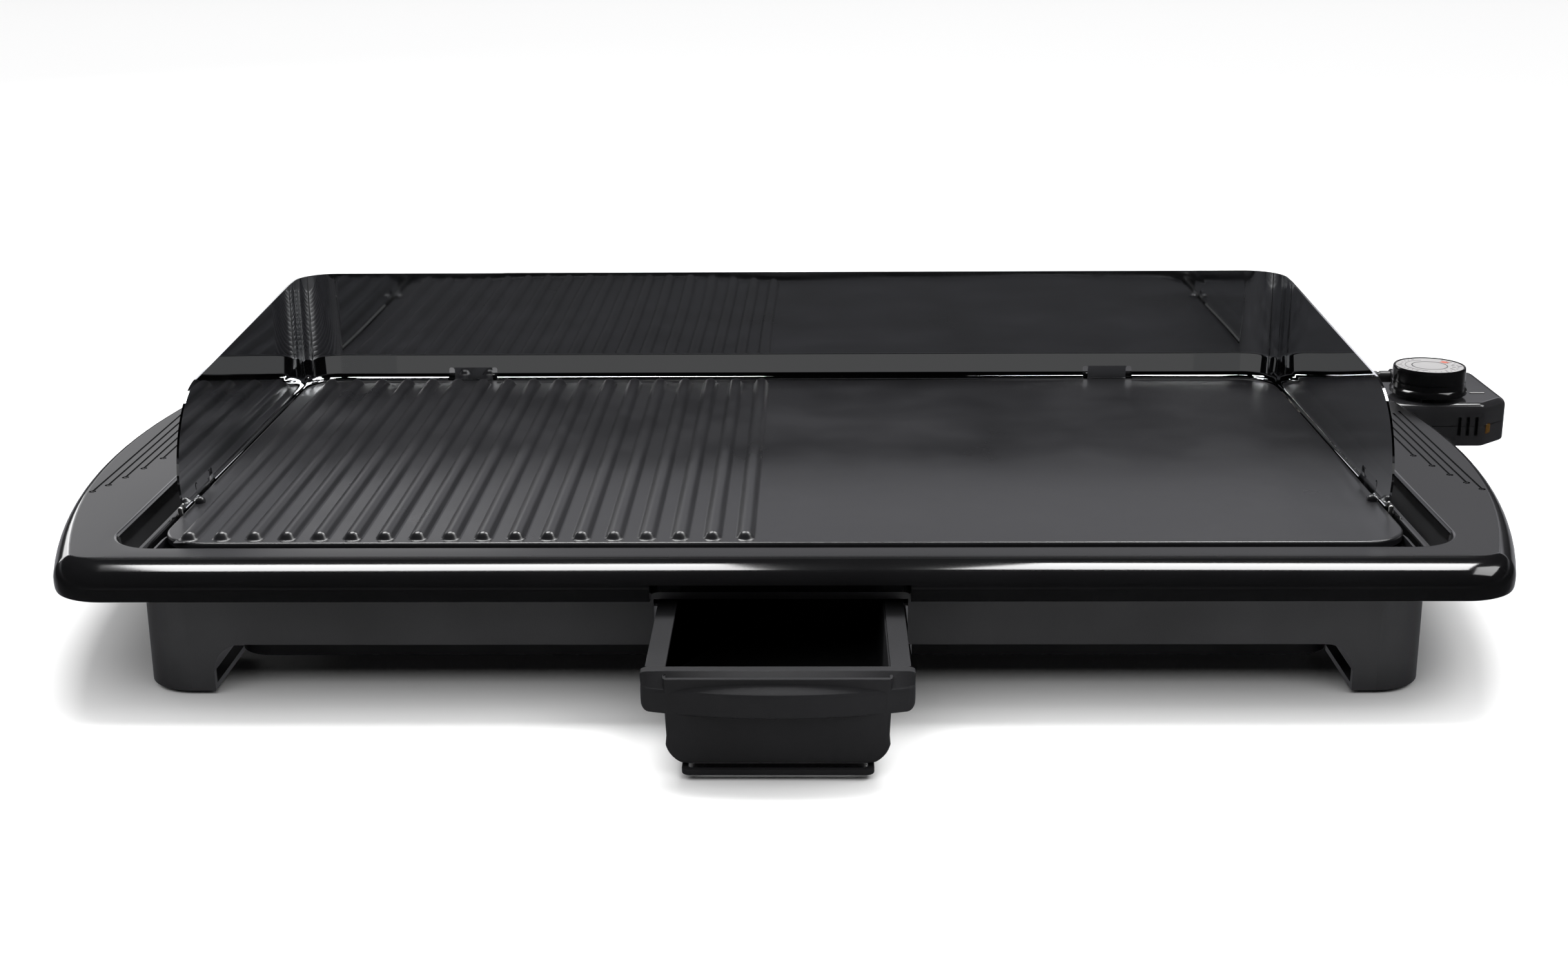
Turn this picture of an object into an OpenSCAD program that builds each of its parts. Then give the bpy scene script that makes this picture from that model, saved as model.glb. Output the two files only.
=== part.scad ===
// Electric griddle with a lift-off splash guard, a pull-out drip drawer and
// a plug-in thermostat control. Millimetres, +Z up. Lengths below are taken from
// the centre of the cooking plate, at table height; the front is -Y.

/* [Griddle plate] */
// Width of the cooking plate
plate_w = 534; // [480:1:534]
// Depth of the cooking plate
plate_d = 291; // [270:1:291]
// Height of the flat cooking surface above the table
plate_top = 57; // [57:1:58]
// Thickness of the cast plate
plate_t = 4; // [4:0.5:5]
// Radius of the plate's corners
plate_r = 22; // [10:1:24]
// Number of grill ribs on the left half
rib_count = 18; // [8:1:18]
// Distance between neighbouring ribs
rib_pitch = 14; // [12:0.5:14]
// Radius of a rib's round back
rib_r = 3.6; // [3:0.1:3.6]

/* [Top frame] */
// Half of the frame's width across the handles
frame_half_w = 329; // [329:1:332]
// Half of the frame's depth
frame_half_d = 188; // [186:1:190]
// Height of the frame's top above the table
frame_top = 60; // [60:0.5:61]
// Height of the frame's underside above the table
frame_bottom = 45; // [45:0.5:45.5]
// Number of finger grooves on each handle
groove_count = 5; // [3:1:5]

/* [Base] */
// Half of the base shell's width
base_half_w = 269; // [266:1:269]
// Half of the base shell's depth
base_half_d = 174; // [172:1:175]
// Height of the arch between the feet
arch_z = 22; // [18:1:24]
// Width of one foot, seen from the front
foot_w = 32; // [28:1:36]

/* [Splash guard] */
// Height of the guard's top edge above the table
guard_top = 117; // [100:1:130]
// Thickness of the guard's sheet
guard_t = 1; // [0.8:0.1:1]

/* [Drip drawer] */
// How far the drawer is pulled out
drawer_out = 70; // [60:1:75]
// Length of the drawer's tub
drawer_len = 147; // [130:1:150]

/* [Thermostat control] */
// Diameter of the dial knob
knob_d = 37.6; // [34:0.1:40]
// Height of the control housing's top
control_top = 58; // [58:0.5:59]

/* [Hidden] */

e = 0.5;                 // how far a cut runs past the face that it opens
round_fn = 48;           // facets of a round surface in the preview
half_w = plate_w/2;
half_d = plate_d/2;
plate_under = plate_top - plate_t;

// Frame outline: side arcs through the handles, blended into the straight front and back
side_r = 545;
side_cx = side_r - frame_half_w;
corner_r = 25;
corner_y = frame_half_d - corner_r;
corner_x = sqrt(pow(side_r - corner_r, 2) - pow(corner_y, 2)) - side_cx;
corner_a = asin(corner_y/(side_r - corner_r));
opening_front = -159.5;          // front edge of the recess that holds the plate
opening_back = half_d + 3;
opening_side = half_w + 2.5;
recess_r = 20;                   // radius of the recess's front corners
slot_in = half_w + 6;            // the slots beside the plate
slot_out = half_w + 15.5;
slot_back = 130;
far = 400;                       // a reach well past the whole griddle

// Places that several pieces share
control_y = 107;                 // centre line of the probe and its socket
heater_z = 47.5;                 // height of the element, the probe and the terminals
pin_gap = 22;                    // distance between the two terminals
notch_y = [79, 137];             // where the frame opens for the control's neck
tab_x = 176.5;                   // splash guard's rear tabs
tab_y = -66;                     // splash guard's side tabs
tab_w = 21;
tab_low = plate_top - 7;         // lower end of a tab
stud_y = -86;                    // bosses that keep the guard's wings apart
stop_y = -101.5;                 // small pins in front of the wings
drawer_half = 43.5;              // half the tub's width at its rim
drawer_rim = 7;                  // width of the rim strips that slide in the guides
drawer_z = 41.2;                 // top of the drawer's rim
drawer_front = -187;             // front of the tub when the drawer is shut
handle_front = drawer_front - 5;
frame_screw_at = [[-290, -110], [290, -110], [-290, 30], [290, 30],
    [-180, 166], [180, 166], [-180, -166], [180, -166]];
standoff_at = [[-170, -60], [170, -60], [-170, 60], [170, 60]];
knob_x = 341.5;
knob_y = 101.5;
cam_r = 6;                       // smallest radius of the adjusting cam
cam_rise = 4;                    // how much it grows over the dial's turn
dial_turn = 285;
lever_len = 16;
lever_gap = 0.3;
lever_nose = 1.5;
lever_y = knob_y + cam_r + lever_gap + lever_nose;
lever_x = knob_x + lever_len;
control_bottom = 35;
control_seam = 46;
wall = 2.2;

// Control housing, seen from above: neck, shoulder and chamfered body
control_plan = [[288, 83], [303, 83], [308, 81], [366.3, 81], [382, 95], [382, 153],
    [372, 164], [338, 164], [338, 134], [308, 134], [303, 131], [288, 131]];
control_cavity = [[290.5, 85.5], [303, 85.5], [309, 83.2], [365.4, 83.2], [379.8, 96], [379.8, 152],
    [371, 161.8], [340.2, 161.8], [340.2, 131.8], [309, 131.8], [303, 128.5], [290.5, 128.5]];

// Flexible cord, from the end of its strain relief to the first turn of the coil
cord_r = 3.3;
relief_path = [[338, 158, 53.5], [334, 158, 53.5], [327, 159, 53.4], [320.5, 161.8, 53.2],
    [315, 166, 53]];
cord_route = [[315, 166, 53], [310.5, 171.5, 52.4], [307.8, 179, 51], [307, 188, 48.5],
    [307, 197, 44.5], [307, 206, 38.5], [306.8, 214, 31.5], [306, 222, 24], [304.2, 230, 16.5],
    [301, 238, 10], [296.2, 245, 5.8], [289.5, 250.8, 3.9], [281, 255, 3.5], [271, 258, 3.5],
    [260, 259.4, 3.5], [245, 259.5, 3.5]];
coil_x = 245;
coil_y = 304.5;
coil_out = 45;                   // radius of the outermost turn
coil_in = 28;                    // radius of the innermost turn
lay_z = 3.5;                     // height of a cord's centre when it lies on the table
tail_z = 10.3;                   // height of the last half turn, which lies on the others
tail_y = coil_y - 35;
plug_x = 187;                    // where the cord enters the plug

// The row frame's origin is under the middle of the whole griddle, control included
function middle(a, b) = (a + b)/2;
origin_x = middle(-frame_half_w, control_plan[4][0]);
origin_y = middle(handle_front - drawer_out, frame_half_d);
module place() { translate([-origin_x, -origin_y, 0]) children(); }

// ---- general shapes ----
function arc(cx, cy, r, a0, a1, n) =
    [for (i = [0:n]) let (a = a0 + (a1 - a0)*i/n) [cx + r*cos(a), cy + r*sin(a)]];
function flipped(pts) = [for (i = [len(pts) - 1:-1:0]) [-pts[i][0], pts[i][1]]];

module rounded_rect(w, d, r) {
    square([w - 2*r, d], center = true);
    square([w, d - 2*r], center = true);
    for (sx = [-1, 1], sy = [-1, 1])
        translate([sx*(w/2 - r), sy*(d/2 - r)]) circle(r, $fn = round_fn);
}
module block(lo, hi) { translate(lo) cube(hi - lo); }
module rod_z(x, y, z0, z1, r) { translate([x, y, z0]) cylinder(h = z1 - z0, r = r, $fn = round_fn); }
module rod_x(x0, x1, y, z, r) {
    translate([x0, y, z]) rotate([0, 90, 0]) cylinder(h = x1 - x0, r = r, $fn = round_fn);
}
module rod_y(x, y0, y1, z, r) {
    translate([x, y1, z]) rotate([90, 0, 0]) cylinder(h = y1 - y0, r = r, $fn = round_fn);
}
module tube_x(x0, x1, y, z, ro, ri) {
    difference() {
        rod_x(x0, x1, y, z, ro);
        rod_x(x0 - e, x1 + e, y, z, ri);
    }
}

// A round tube swept along a list of points, its radius running from r0 to r1
function unit(v) = v/norm(v);
function heading(p, i) = unit(p[min(i + 1, len(p) - 1)] - p[max(i - 1, 0)]);
function ring(p, i, r, n) =
    let (t = heading(p, i), s = unit(cross(t, [0.1, 0.05, 1])), u = cross(s, t))
    [for (k = [0:n - 1]) p[i] + r*(cos(360*k/n)*s + sin(360*k/n)*u)];
module swept(p, r0, r1, n = 8) {
    last = len(p) - 1;
    points = [for (i = [0:last]) each ring(p, i, r0 + (r1 - r0)*i/last, n)];
    sides = [for (i = [0:last - 1], k = [0:n - 1])
        [i*n + k, i*n + (k + 1)%n, (i + 1)*n + (k + 1)%n, (i + 1)*n + k]];
    first_cap = [for (k = [n - 1:-1:0]) k];
    last_cap = [for (k = [0:n - 1]) last*n + k];
    polyhedron(points, concat([first_cap], sides, [last_cap]), convexity = 6);
}

// ---- frame and base ----
// The frame's outline, pulled in by ix at the handles and iy at the front and back
function frame_half(ix, iy) = let (r = corner_r - iy, x = corner_x - ix + iy) concat(
    arc(x, -corner_y, r, -90, -corner_a, 6),
    [for (i = [1:11]) let (a = -corner_a + 2*corner_a*i/12)
        [side_r*cos(a) - side_cx - ix, side_r*sin(a)*(frame_half_d - iy)/frame_half_d]],
    arc(x, corner_y, r, corner_a, 90, 6));
module frame_slab(z, ix, iy) {
    right = frame_half(ix, iy);
    translate([0, 0, z]) linear_extrude(0.01) polygon(concat(right, flipped(right)));
}
// Rounded edge: broad along the front and back, tight round the handles
module frame_body() {
    roll_x = 6;
    roll_y = 18;
    rise = frame_top - frame_bottom - 5;
    hull() {
        frame_slab(frame_bottom, 1.5, 1.5);
        for (a = [0:15:90])
            frame_slab(frame_bottom + 5 + rise*sin(a) - 0.01, roll_x*(1 - cos(a)), roll_y*(1 - cos(a)));
    }
}
function groove_x(i) = 315 - 3.9*i;
function groove_y(i) = -79 + 9*i + 1.2*i*i;
module groove(x, y0, y1) {
    block([x - 0.6, y0, frame_top - 0.8], [x + 0.6, y1, frame_top + e]);
    rod_z(x, y0, frame_top - 1.4, frame_top + e, 1.3);
}
// Everything inside the frame's light top face, as far as the slots' outer edges
module recess_plan() {
    translate([0, middle(opening_front, far)]) rounded_rect(2*slot_out, far - opening_front, recess_r);
}
module recess_part(x0, x1, back, r) {
    intersection() {
        recess_plan();
        translate([middle(x0, x1), middle(-far, back)]) rounded_rect(x1 - x0, far + back, r);
    }
}
module top_frame() {
    color([0.08, 0.08, 0.09]) difference() {
        frame_body();
        // opening for the plate, with its front drip channel
        translate([0, 0, frame_bottom - e]) linear_extrude(40)
            recess_part(-opening_side, opening_side, opening_back, recess_r);
        // the strips beside the plate and behind it lie level with the cooking surface
        translate([0, 0, plate_top - 0.6]) linear_extrude(40)
            recess_part(-slot_in, slot_in, opening_back + 3, recess_r + 2);
        // long slots between the plate and the handles
        for (s = [-1, 1])
            translate([0, 0, frame_bottom - e]) linear_extrude(40)
                recess_part(min(s*slot_in, s*slot_out), max(s*slot_in, s*slot_out), slot_back, 4);
        // opening for the control's neck, and a passage for its probe under the strip
        block([slot_out - 1, notch_y[0], frame_bottom - e], [360, notch_y[1], 80]);
        block([half_w - 5, notch_y[0], frame_bottom - e], [slot_out, notch_y[1], plate_under + 1]);
        // finger recess over the drip drawer
        block([-53, -200, frame_bottom - e], [53, -base_half_d, frame_bottom + 7.6]);
        for (s = [-1, 1], i = [0:groove_count - 1]) groove(s*groove_x(i), groove_y(i), 60 - 4*i);
        for (p = frame_screw_at) rod_z(p[0], p[1], frame_bottom - e, frame_bottom + 9, 1.6);
    }
    // ledges under the splash guard's tabs and under its pins
    color([0.08, 0.08, 0.09]) for (s = [-1, 1]) {
        ledge([s*tab_x - 12, half_d + 0.3], [s*tab_x + 12, opening_back + e]);
        for (y = [[tab_y - 12, tab_y + 12], [stop_y - 3, stop_y + 3]])
            ledge([min(s*(half_w + 0.3), s*(opening_side + e)), y[0]],
                [max(s*(half_w + 0.3), s*(opening_side + e)), y[1]]);
    }
}
module ledge(lo, hi) { block([lo[0], lo[1], frame_bottom], [hi[0], hi[1], tab_low - 0.4]); }

module base_outline(inset) {
    rounded_rect(2*(base_half_w - inset), 2*(base_half_d - inset), 22 - inset);
}
module arch_cut(half_span, reach) {
    rotate([90, 0, 0]) translate([0, 0, -reach]) linear_extrude(2*reach) {
        translate([-half_span, -10]) square([2*half_span, arch_z - 2]);
        translate([12 - half_span, -10]) square([2*half_span - 24, arch_z + 10]);
        for (s = [-1, 1])
            translate([s*(half_span - 12), arch_z - 12]) circle(12, $fn = round_fn);
    }
}
module base_shell() {
    flange_z = frame_bottom - 3;
    color([0.1, 0.1, 0.11]) difference() {
        union() {
            translate([0, 0, 1.5]) linear_extrude(flange_z - 1.5) base_outline(0);
            translate([0, 0, flange_z]) linear_extrude(3) rounded_rect(600, 2*base_half_d, 22);
        }
        // inside of the shell, leaving four hollow feet
        translate([0, 0, arch_z + 8]) linear_extrude(40) base_outline(3);
        translate([0, 0, 4]) linear_extrude(60) difference() {
            base_outline(3);
            rounded_rect(2*(base_half_w - foot_w), 700, 1);
            rounded_rect(700, 2*(base_half_d - 46), 1);
        }
        linear_extrude(100, center = true) {
            rounded_rect(2*(base_half_w - foot_w - 2), 2*(base_half_d - 3), 2);
            rounded_rect(2*(base_half_w - 3), 2*(base_half_d - 48), 2);
        }
        arch_cut(base_half_w - foot_w, 400);
        rotate([0, 0, 90]) arch_cut(base_half_d - 46, 400);
        // mouth for the drip drawer
        block([-52.5, -190, -e], [52.5, -160, flange_z]);
        // passage for the control's neck
        block([240, notch_y[0], 34], [330, notch_y[1], 60]);
        for (p = frame_screw_at) rod_z(p[0], p[1], flange_z - e, frame_bottom + e, 2.2);
    }
    // ledge that carries the heat pan, with the frame's front and back screws through it
    color([0.1, 0.1, 0.11]) difference() {
        translate([0, 0, flange_z]) linear_extrude(3) difference() {
            base_outline(3);
            rounded_rect(510, 324, 12);
        }
        block([240, notch_y[0], 34], [330, notch_y[1], 60]);
        for (p = frame_screw_at) rod_z(p[0], p[1], flange_z - e, frame_bottom + e, 2.2);
    }
}

module pan_plan(inset) {
    difference() {
        rounded_rect(466 - 2*inset, 310 - 2*inset, 15 - inset);
        translate([-55 - inset, -200]) square([110 + 2*inset, 172 + inset]);
    }
}
module heat_pan() {
    rim_z = frame_bottom - 4.2;
    color([0.2, 0.2, 0.21]) difference() {
        union() {
            translate([0, 0, 10]) linear_extrude(rim_z + 1.2 - 10) pan_plan(0);
            translate([0, 0, rim_z]) linear_extrude(1.2) difference() {
                rounded_rect(524, 340, 20);
                translate([-55, -200]) square([110, 172]);
            }
        }
        translate([0, 0, 11.2]) linear_extrude(60) pan_plan(1.2);
        for (p = standoff_at) rod_z(p[0], p[1], 5, 20, 2.5);
        for (p = frame_screw_at) rod_z(p[0], p[1], 30, 60, 2.2);
    }
}

module foot_pads() {
    color([0.05, 0.05, 0.05])
        for (sx = [-1, 1], sy = [-1, 1])
            rod_z(sx*(base_half_w - foot_w/2), sy*(base_half_d - 23), 0, 1.5, 11);
}

module screw_up(x, y, z_head, z_tip, r, head_r) {
    rod_z(x, y, z_head - 2, z_head, head_r);
    rod_z(x, y, z_head, z_tip, r);
}
module frame_screws() {
    color([0.6, 0.6, 0.62])
        for (p = frame_screw_at)
            screw_up(p[0], p[1], frame_bottom - (abs(p[0]) > 200 ? 3 : 4.2), frame_bottom + 8, 1.5, 3.5);
}

// ---- plate and heater ----
module rib(x) {
    y0 = -half_d + 3.5 + rib_r;
    y1 = half_d - 8 - rib_r;
    z = plate_top - 0.3;
    rod_y(x, y0, y1, z, rib_r);
    for (y = [y0, y1]) translate([x, y, z]) sphere(rib_r, $fn = round_fn);
}
trough_floor = plate_under - 2;
module trough_plan(inset) {
    front = opening_front + 1;
    back = -half_d + plate_r;
    translate([0, middle(front, back)]) rounded_rect(2*(half_w - inset), back - front - 2*inset, 12 - inset);
}
module griddle_plate() {
    color([0.22, 0.22, 0.24]) difference() {
        union() {
            // drip trough along the front, open round the plate's corners
            difference() {
                translate([0, 0, trough_floor - 1.5]) linear_extrude(plate_top - 2 - trough_floor + 1.5)
                    trough_plan(0);
                translate([0, 0, trough_floor]) linear_extrude(20) difference() {
                    trough_plan(1.5);
                    translate([0, 1, 0]) square([2*(half_w - plate_r), 2*half_d - 2], center = true);
                }
            }
            translate([0, 0, plate_under]) linear_extrude(plate_t) rounded_rect(plate_w, plate_d, plate_r);
            for (i = [0:rib_count - 1]) rib(-15.4 - rib_pitch*i);
            for (p = standoff_at) rod_z(p[0], p[1], plate_under - 3, plate_under, 7);
        }
        rod_z(0, -half_d - 6.2, plate_under - 5, plate_under, 4.5);
        for (p = standoff_at) rod_z(p[0], p[1], plate_under - 4, plate_top - 1.5, 2.05);
    }
}
module plate_standoffs() {
    color([0.7, 0.7, 0.72])
        for (p = standoff_at) difference() {
            rod_z(p[0], p[1], 11.2, plate_under - 3, 6);
            rod_z(p[0], p[1], 11.2 - e, plate_under, 2.5);
        }
}
module plate_screws() {
    color([0.6, 0.6, 0.62])
        for (p = standoff_at) screw_up(p[0], p[1], 10, plate_top - 2, 2, 4.5);
}

// One loop of tubular element under the plate, its two ends side by side at the socket
loop_x = 240;
loop_y = control_y + pin_gap/2;
front_y = 112;                   // the run along the front
bend_r = 20;
element_r = 4;
module bend(x, y, a0) {
    translate([x, y, heater_z]) rotate([0, 0, a0])
        rotate_extrude(angle = 90, $fn = round_fn) translate([bend_r, 0]) circle(element_r, $fn = 24);
}
module heating_element() {
    inner = bend_r;
    color([0.35, 0.33, 0.32]) {
        rod_x(-loop_x + inner, 262, loop_y, heater_z, element_r);
        bend(-loop_x + inner, loop_y - inner, 90);
        rod_y(-loop_x, -front_y + inner, loop_y - inner, heater_z, element_r);
        bend(-loop_x + inner, -front_y + inner, 180);
        rod_x(-loop_x + inner, loop_x - inner, -front_y, heater_z, element_r);
        bend(loop_x - inner, -front_y + inner, 270);
        rod_y(loop_x, -front_y + inner, loop_y - pin_gap - inner, heater_z, element_r);
        translate([loop_x + inner, loop_y - pin_gap - inner, heater_z]) rotate([0, 0, 90])
            rotate_extrude(angle = 90, $fn = round_fn) translate([inner, 0]) circle(element_r, $fn = 24);
        rod_x(loop_x + inner, 262, loop_y - pin_gap, heater_z, element_r);
    }
}
module saddle(x, y, turn) {
    translate([x, y, heater_z]) rotate([0, 0, turn]) difference() {
        union() {
            translate([-5, -5.4, -5]) cube([10, 10.8, plate_under - heater_z + 5]);
            translate([-5, -10.5, plate_under - heater_z - 1]) cube([10, 21, 1]);
        }
        translate([-6, 0, 0]) rotate([0, 90, 0]) cylinder(h = 12, r = element_r + 0.1, $fn = round_fn);
        translate([-6, -element_r - 0.1, 0]) cube([12, 2*element_r + 0.2, plate_under - heater_z + 1]);
    }
}
module element_clips() {
    color([0.7, 0.7, 0.72]) {
        for (x = [-120, 120]) {
            saddle(x, -front_y, 0);
            saddle(x, loop_y, 0);
        }
        saddle(-loop_x, 0, 90);
        saddle(loop_x, -20, 90);
    }
}
module at_pins() { for (s = [-1, 1]) translate([0, control_y + s*pin_gap/2, heater_z]) children(); }
module element_insulators() {
    color([0.9, 0.88, 0.82]) at_pins() tube_x(262, 267, 0, 0, element_r, 2.4);
}
module element_terminals() {
    color([0.75, 0.75, 0.77]) at_pins() {
        rod_x(262, 299, 0, 0, 2.4);
        translate([299, 0, 0]) sphere(2.4, $fn = round_fn);
    }
}
module probe_sleeve() {
    color([0.7, 0.7, 0.72]) difference() {
        tube_x(215, 284, control_y, heater_z, 4.4, 3.55);
        block([200, control_y - 5, plate_under], [290, control_y + 5, 60]);
    }
    color([0.7, 0.7, 0.72]) rod_x(213, 215, control_y, heater_z, 4.4);
}
module terminal_shroud() {
    lo = [262.1, notch_y[0] + 5.5, 39.5];
    hi = [286.5, notch_y[1] - 7.5, plate_under];
    color([0.6, 0.6, 0.62]) difference() {
        block(lo, hi);
        block(lo + [-e, 1.2, 1.2], hi + [e, -1.2, e]);
    }
}
module drain_spout() {
    color([0.3, 0.3, 0.32]) translate([0, -half_d - 6.2, frame_bottom - 2]) difference() {
        cylinder(h = plate_under - 3.5 - frame_bottom + 2, r = 6.3, $fn = round_fn);
        translate([0, 0, -e]) cylinder(h = 20, r = 4.5, $fn = round_fn);
    }
}
module guard_studs() {
    boss_r = 2.5;
    pin_r = 1.1;
    pin_top = plate_top + 2.5;
    color([0.75, 0.75, 0.77])
        for (s = [-1, 1]) {
            // domed boss on the plate, just inside the wing's tab
            rod_z(s*(half_w - 3), stud_y, plate_top, plate_top + 1, boss_r);
            translate([s*(half_w - 3), stud_y, plate_top + 1]) intersection() {
                sphere(boss_r, $fn = round_fn);
                translate([0, 0, 3]) cube(6, center = true);
            }
            // pin in the gap, just in front of the wing's tip
            rod_z(s*(half_w + 1.25), stop_y, tab_low - 0.4, pin_top - pin_r, pin_r);
            translate([s*(half_w + 1.25), stop_y, pin_top - pin_r]) sphere(pin_r, $fn = round_fn);
        }
}

// ---- drawer and its guides ----
module drawer_guides() {
    top = frame_bottom - 3;
    color([0.12, 0.12, 0.13])
        for (s = [-1, 1]) scale([s, 1, 1]) {
            block([53, -base_half_d + 4, top - 4.6], [55, -30, top]);
            block([45.5, -base_half_d + 4, top - 4.6], [53, -30, top - 3.2]);
        }
}
module tub_section(inset) {
    r = 6 - inset;
    hull() {
        for (s = [-1, 1]) {
            translate([s*(34.5 - r - inset), 2 + r + inset]) circle(r, $fn = 24);
            translate([s*(drawer_half - inset) - (s + 1)/2, drawer_z + (inset > 0 ? 5 : -1)]) square(1);
        }
    }
}
module drip_drawer() {
    back = drawer_front + drawer_len;
    handle_half = 52;
    handle_back = handle_front + 15.5;
    bow_r = 170;
    color([0.1, 0.1, 0.11]) translate([0, -drawer_out, 0]) difference() {
        union() {
            translate([0, back, 0]) rotate([90, 0, 0]) linear_extrude(drawer_len) tub_section(0);
            block([-drawer_half - drawer_rim, drawer_front + 5, drawer_z - 1.6],
                [drawer_half + drawer_rim, back, drawer_z]);
            // handle: a lip across the front with a bowed face and a top that slopes down to it
            hull() {
                intersection() {
                    block([-handle_half, handle_front, 25.4], [handle_half, handle_back, 35.4]);
                    translate([0, handle_front + bow_r, 0]) cylinder(h = 60, r = bow_r, $fn = 200);
                }
                block([-handle_half, handle_front + 11, 30], [handle_half, handle_back, drawer_z]);
            }
        }
        // inside, reaching forward under the lip
        translate([0, back - 2, 0]) rotate([90, 0, 0])
            linear_extrude(back - 2 - handle_back - 0.5) tub_section(2);
        intersection() {
            translate([0, back - 2, 0]) rotate([90, 0, 0]) linear_extrude(drawer_len - 4.4) tub_section(2);
            block([-60, drawer_front - 1, 0], [60, back, 33]);
        }
    }
}

// ---- splash guard ----
module guard_plan(inset) {
    translate([0, middle(-300, half_d + 2.1), 0])
        rounded_rect(2*(half_w + 2.1 - inset), half_d + 302.1 - 2*inset, 20 - inset);
}
module guard_side() {
    curve_r = 41;
    curve_y = -59;
    curve_z = guard_top - 8.6 - curve_r;
    foot_z = plate_top + 0.4;
    rotate([90, 0, 90]) linear_extrude(800, center = true) polygon(concat(
        [[200, foot_z], [200, guard_top], [half_d - 30, guard_top]],
        arc(curve_y, curve_z, curve_r, 90, 193, 12),
        [[-98.5, foot_z]]));
}
module splash_guard() {
    notch_top = plate_top + 7;
    color([0.75, 0.76, 0.78]) {
        difference() {
            intersection() {
                linear_extrude(200) difference() {
                    guard_plan(0);
                    guard_plan(guard_t);
                }
                guard_side();
            }
            // relief notches on both sides of each tab
            for (s = [-1, 1], n = [-1, 1]) {
                translate([s*tab_x + n*(tab_w/2 + 1.5), half_d, plate_top])
                    cube([3, 20, 2*(notch_top - plate_top)], center = true);
                translate([s*half_w, tab_y + n*(tab_w/2 + 1.5), plate_top])
                    cube([20, 3, 2*(notch_top - plate_top)], center = true);
            }
        }
        for (s = [-1, 1]) {
            translate([s*tab_x - tab_w/2, half_d + 2.1 - guard_t, tab_low])
                cube([tab_w, guard_t, plate_top + 1 - tab_low]);
            translate([s > 0 ? half_w + 2.1 - guard_t : -half_w - 2.1, tab_y - tab_w/2, tab_low])
                cube([guard_t, tab_w, plate_top + 1 - tab_low]);
        }
    }
}

// ---- thermostat control ----
module housing_screw_spots() {
    for (p = [[376, 104], [375, 146], [352, 156], [314, 125]]) translate([p[0], p[1], 0]) children();
}
// The lamp's window is set into the chamfered corner
module at_lens() { translate([369.4, 83.8, 44.2]) rotate([0, 0, -48.3]) children(); }
module control_upper_housing() {
    color([0.05, 0.05, 0.06]) difference() {
        union() {
            difference() {
                translate([0, 0, control_seam]) linear_extrude(control_top - control_seam)
                    polygon(control_plan);
                translate([0, 0, control_seam - e]) linear_extrude(control_top - wall - control_seam + e)
                    polygon(control_cavity);
            }
            housing_screw_spots() rod_z(0, 0, control_seam, control_top - 1, 3);
            rod_z(knob_x, knob_y, control_top - 6, control_top, 6.5);
            rod_z(knob_x, knob_y, control_top - 1, control_top + 1.5, 13);
        }
        rod_z(knob_x, knob_y, control_seam, control_top + 3, 3.05);
        rod_x(280, 296, control_y, heater_z, 3.55);
        at_pins() rod_x(280, 296, 0, 0, 3.7);
        rod_x(330, 345, 158, 53.5, 3.3);
        at_lens() cube([10, 4.4, 5.6], center = true);
        // vent slots in the front wall
        for (x = [353.6, 358, 362.5]) block([x - 0.9, 75, control_seam - e], [x + 0.9, 84, 51]);
        housing_screw_spots() rod_z(0, 0, control_seam - e, control_seam + 7, 1.3);
    }
}
module control_lower_housing() {
    color([0.06, 0.06, 0.07]) difference() {
        union() {
            difference() {
                translate([0, 0, control_bottom]) linear_extrude(control_seam - control_bottom)
                    polygon(control_plan);
                translate([0, 0, control_bottom + wall]) linear_extrude(40) polygon(control_cavity);
            }
            housing_screw_spots() rod_z(0, 0, control_bottom, control_seam, 3);
        }
        rod_x(280, 296, control_y, heater_z, 3.55);
        at_pins() rod_x(280, 296, 0, 0, 3.7);
        at_lens() cube([10, 4.4, 5.6], center = true);
        for (x = [353.6, 358, 362.5]) block([x - 0.9, 75, 41], [x + 0.9, 84, 60]);
        housing_screw_spots() {
            rod_z(0, 0, control_bottom - e, control_seam + e, 1.6);
            rod_z(0, 0, control_bottom - e, control_bottom + 3, 2.8);
        }
    }
}
module control_screws() {
    color([0.6, 0.6, 0.62]) housing_screw_spots() {
        rod_z(0, 0, control_bottom + 1, control_bottom + 3, 2.5);
        rod_z(0, 0, control_bottom + 3, control_seam + 6, 1.2);
    }
}
module probe_tube() {
    color([0.8, 0.8, 0.82]) {
        tube_x(222, 318, control_y, heater_z, 3.5, 2.5);
        translate([222, control_y, heater_z]) rotate([0, -90, 0]) cylinder(h = 5, r1 = 3.5, r2 = 2.2, $fn = round_fn);
    }
}
module sensor_rod() { color([0.8, 0.65, 0.3]) rod_x(224, 321, control_y, heater_z, 1.6); }
module terminal_block() {
    color([0.88, 0.86, 0.8]) difference() {
        block([301, 87.5, 41], [309, 126.5, 54]);
        rod_x(300, 310, control_y, heater_z, 3.55);
        at_pins() rod_x(300, 310, 0, 0, 3.55);
    }
}
module contact_sleeves() {
    color([0.8, 0.65, 0.3]) at_pins() tube_x(291, 311, 0, 0, 3.5, 2.45);
}
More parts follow.
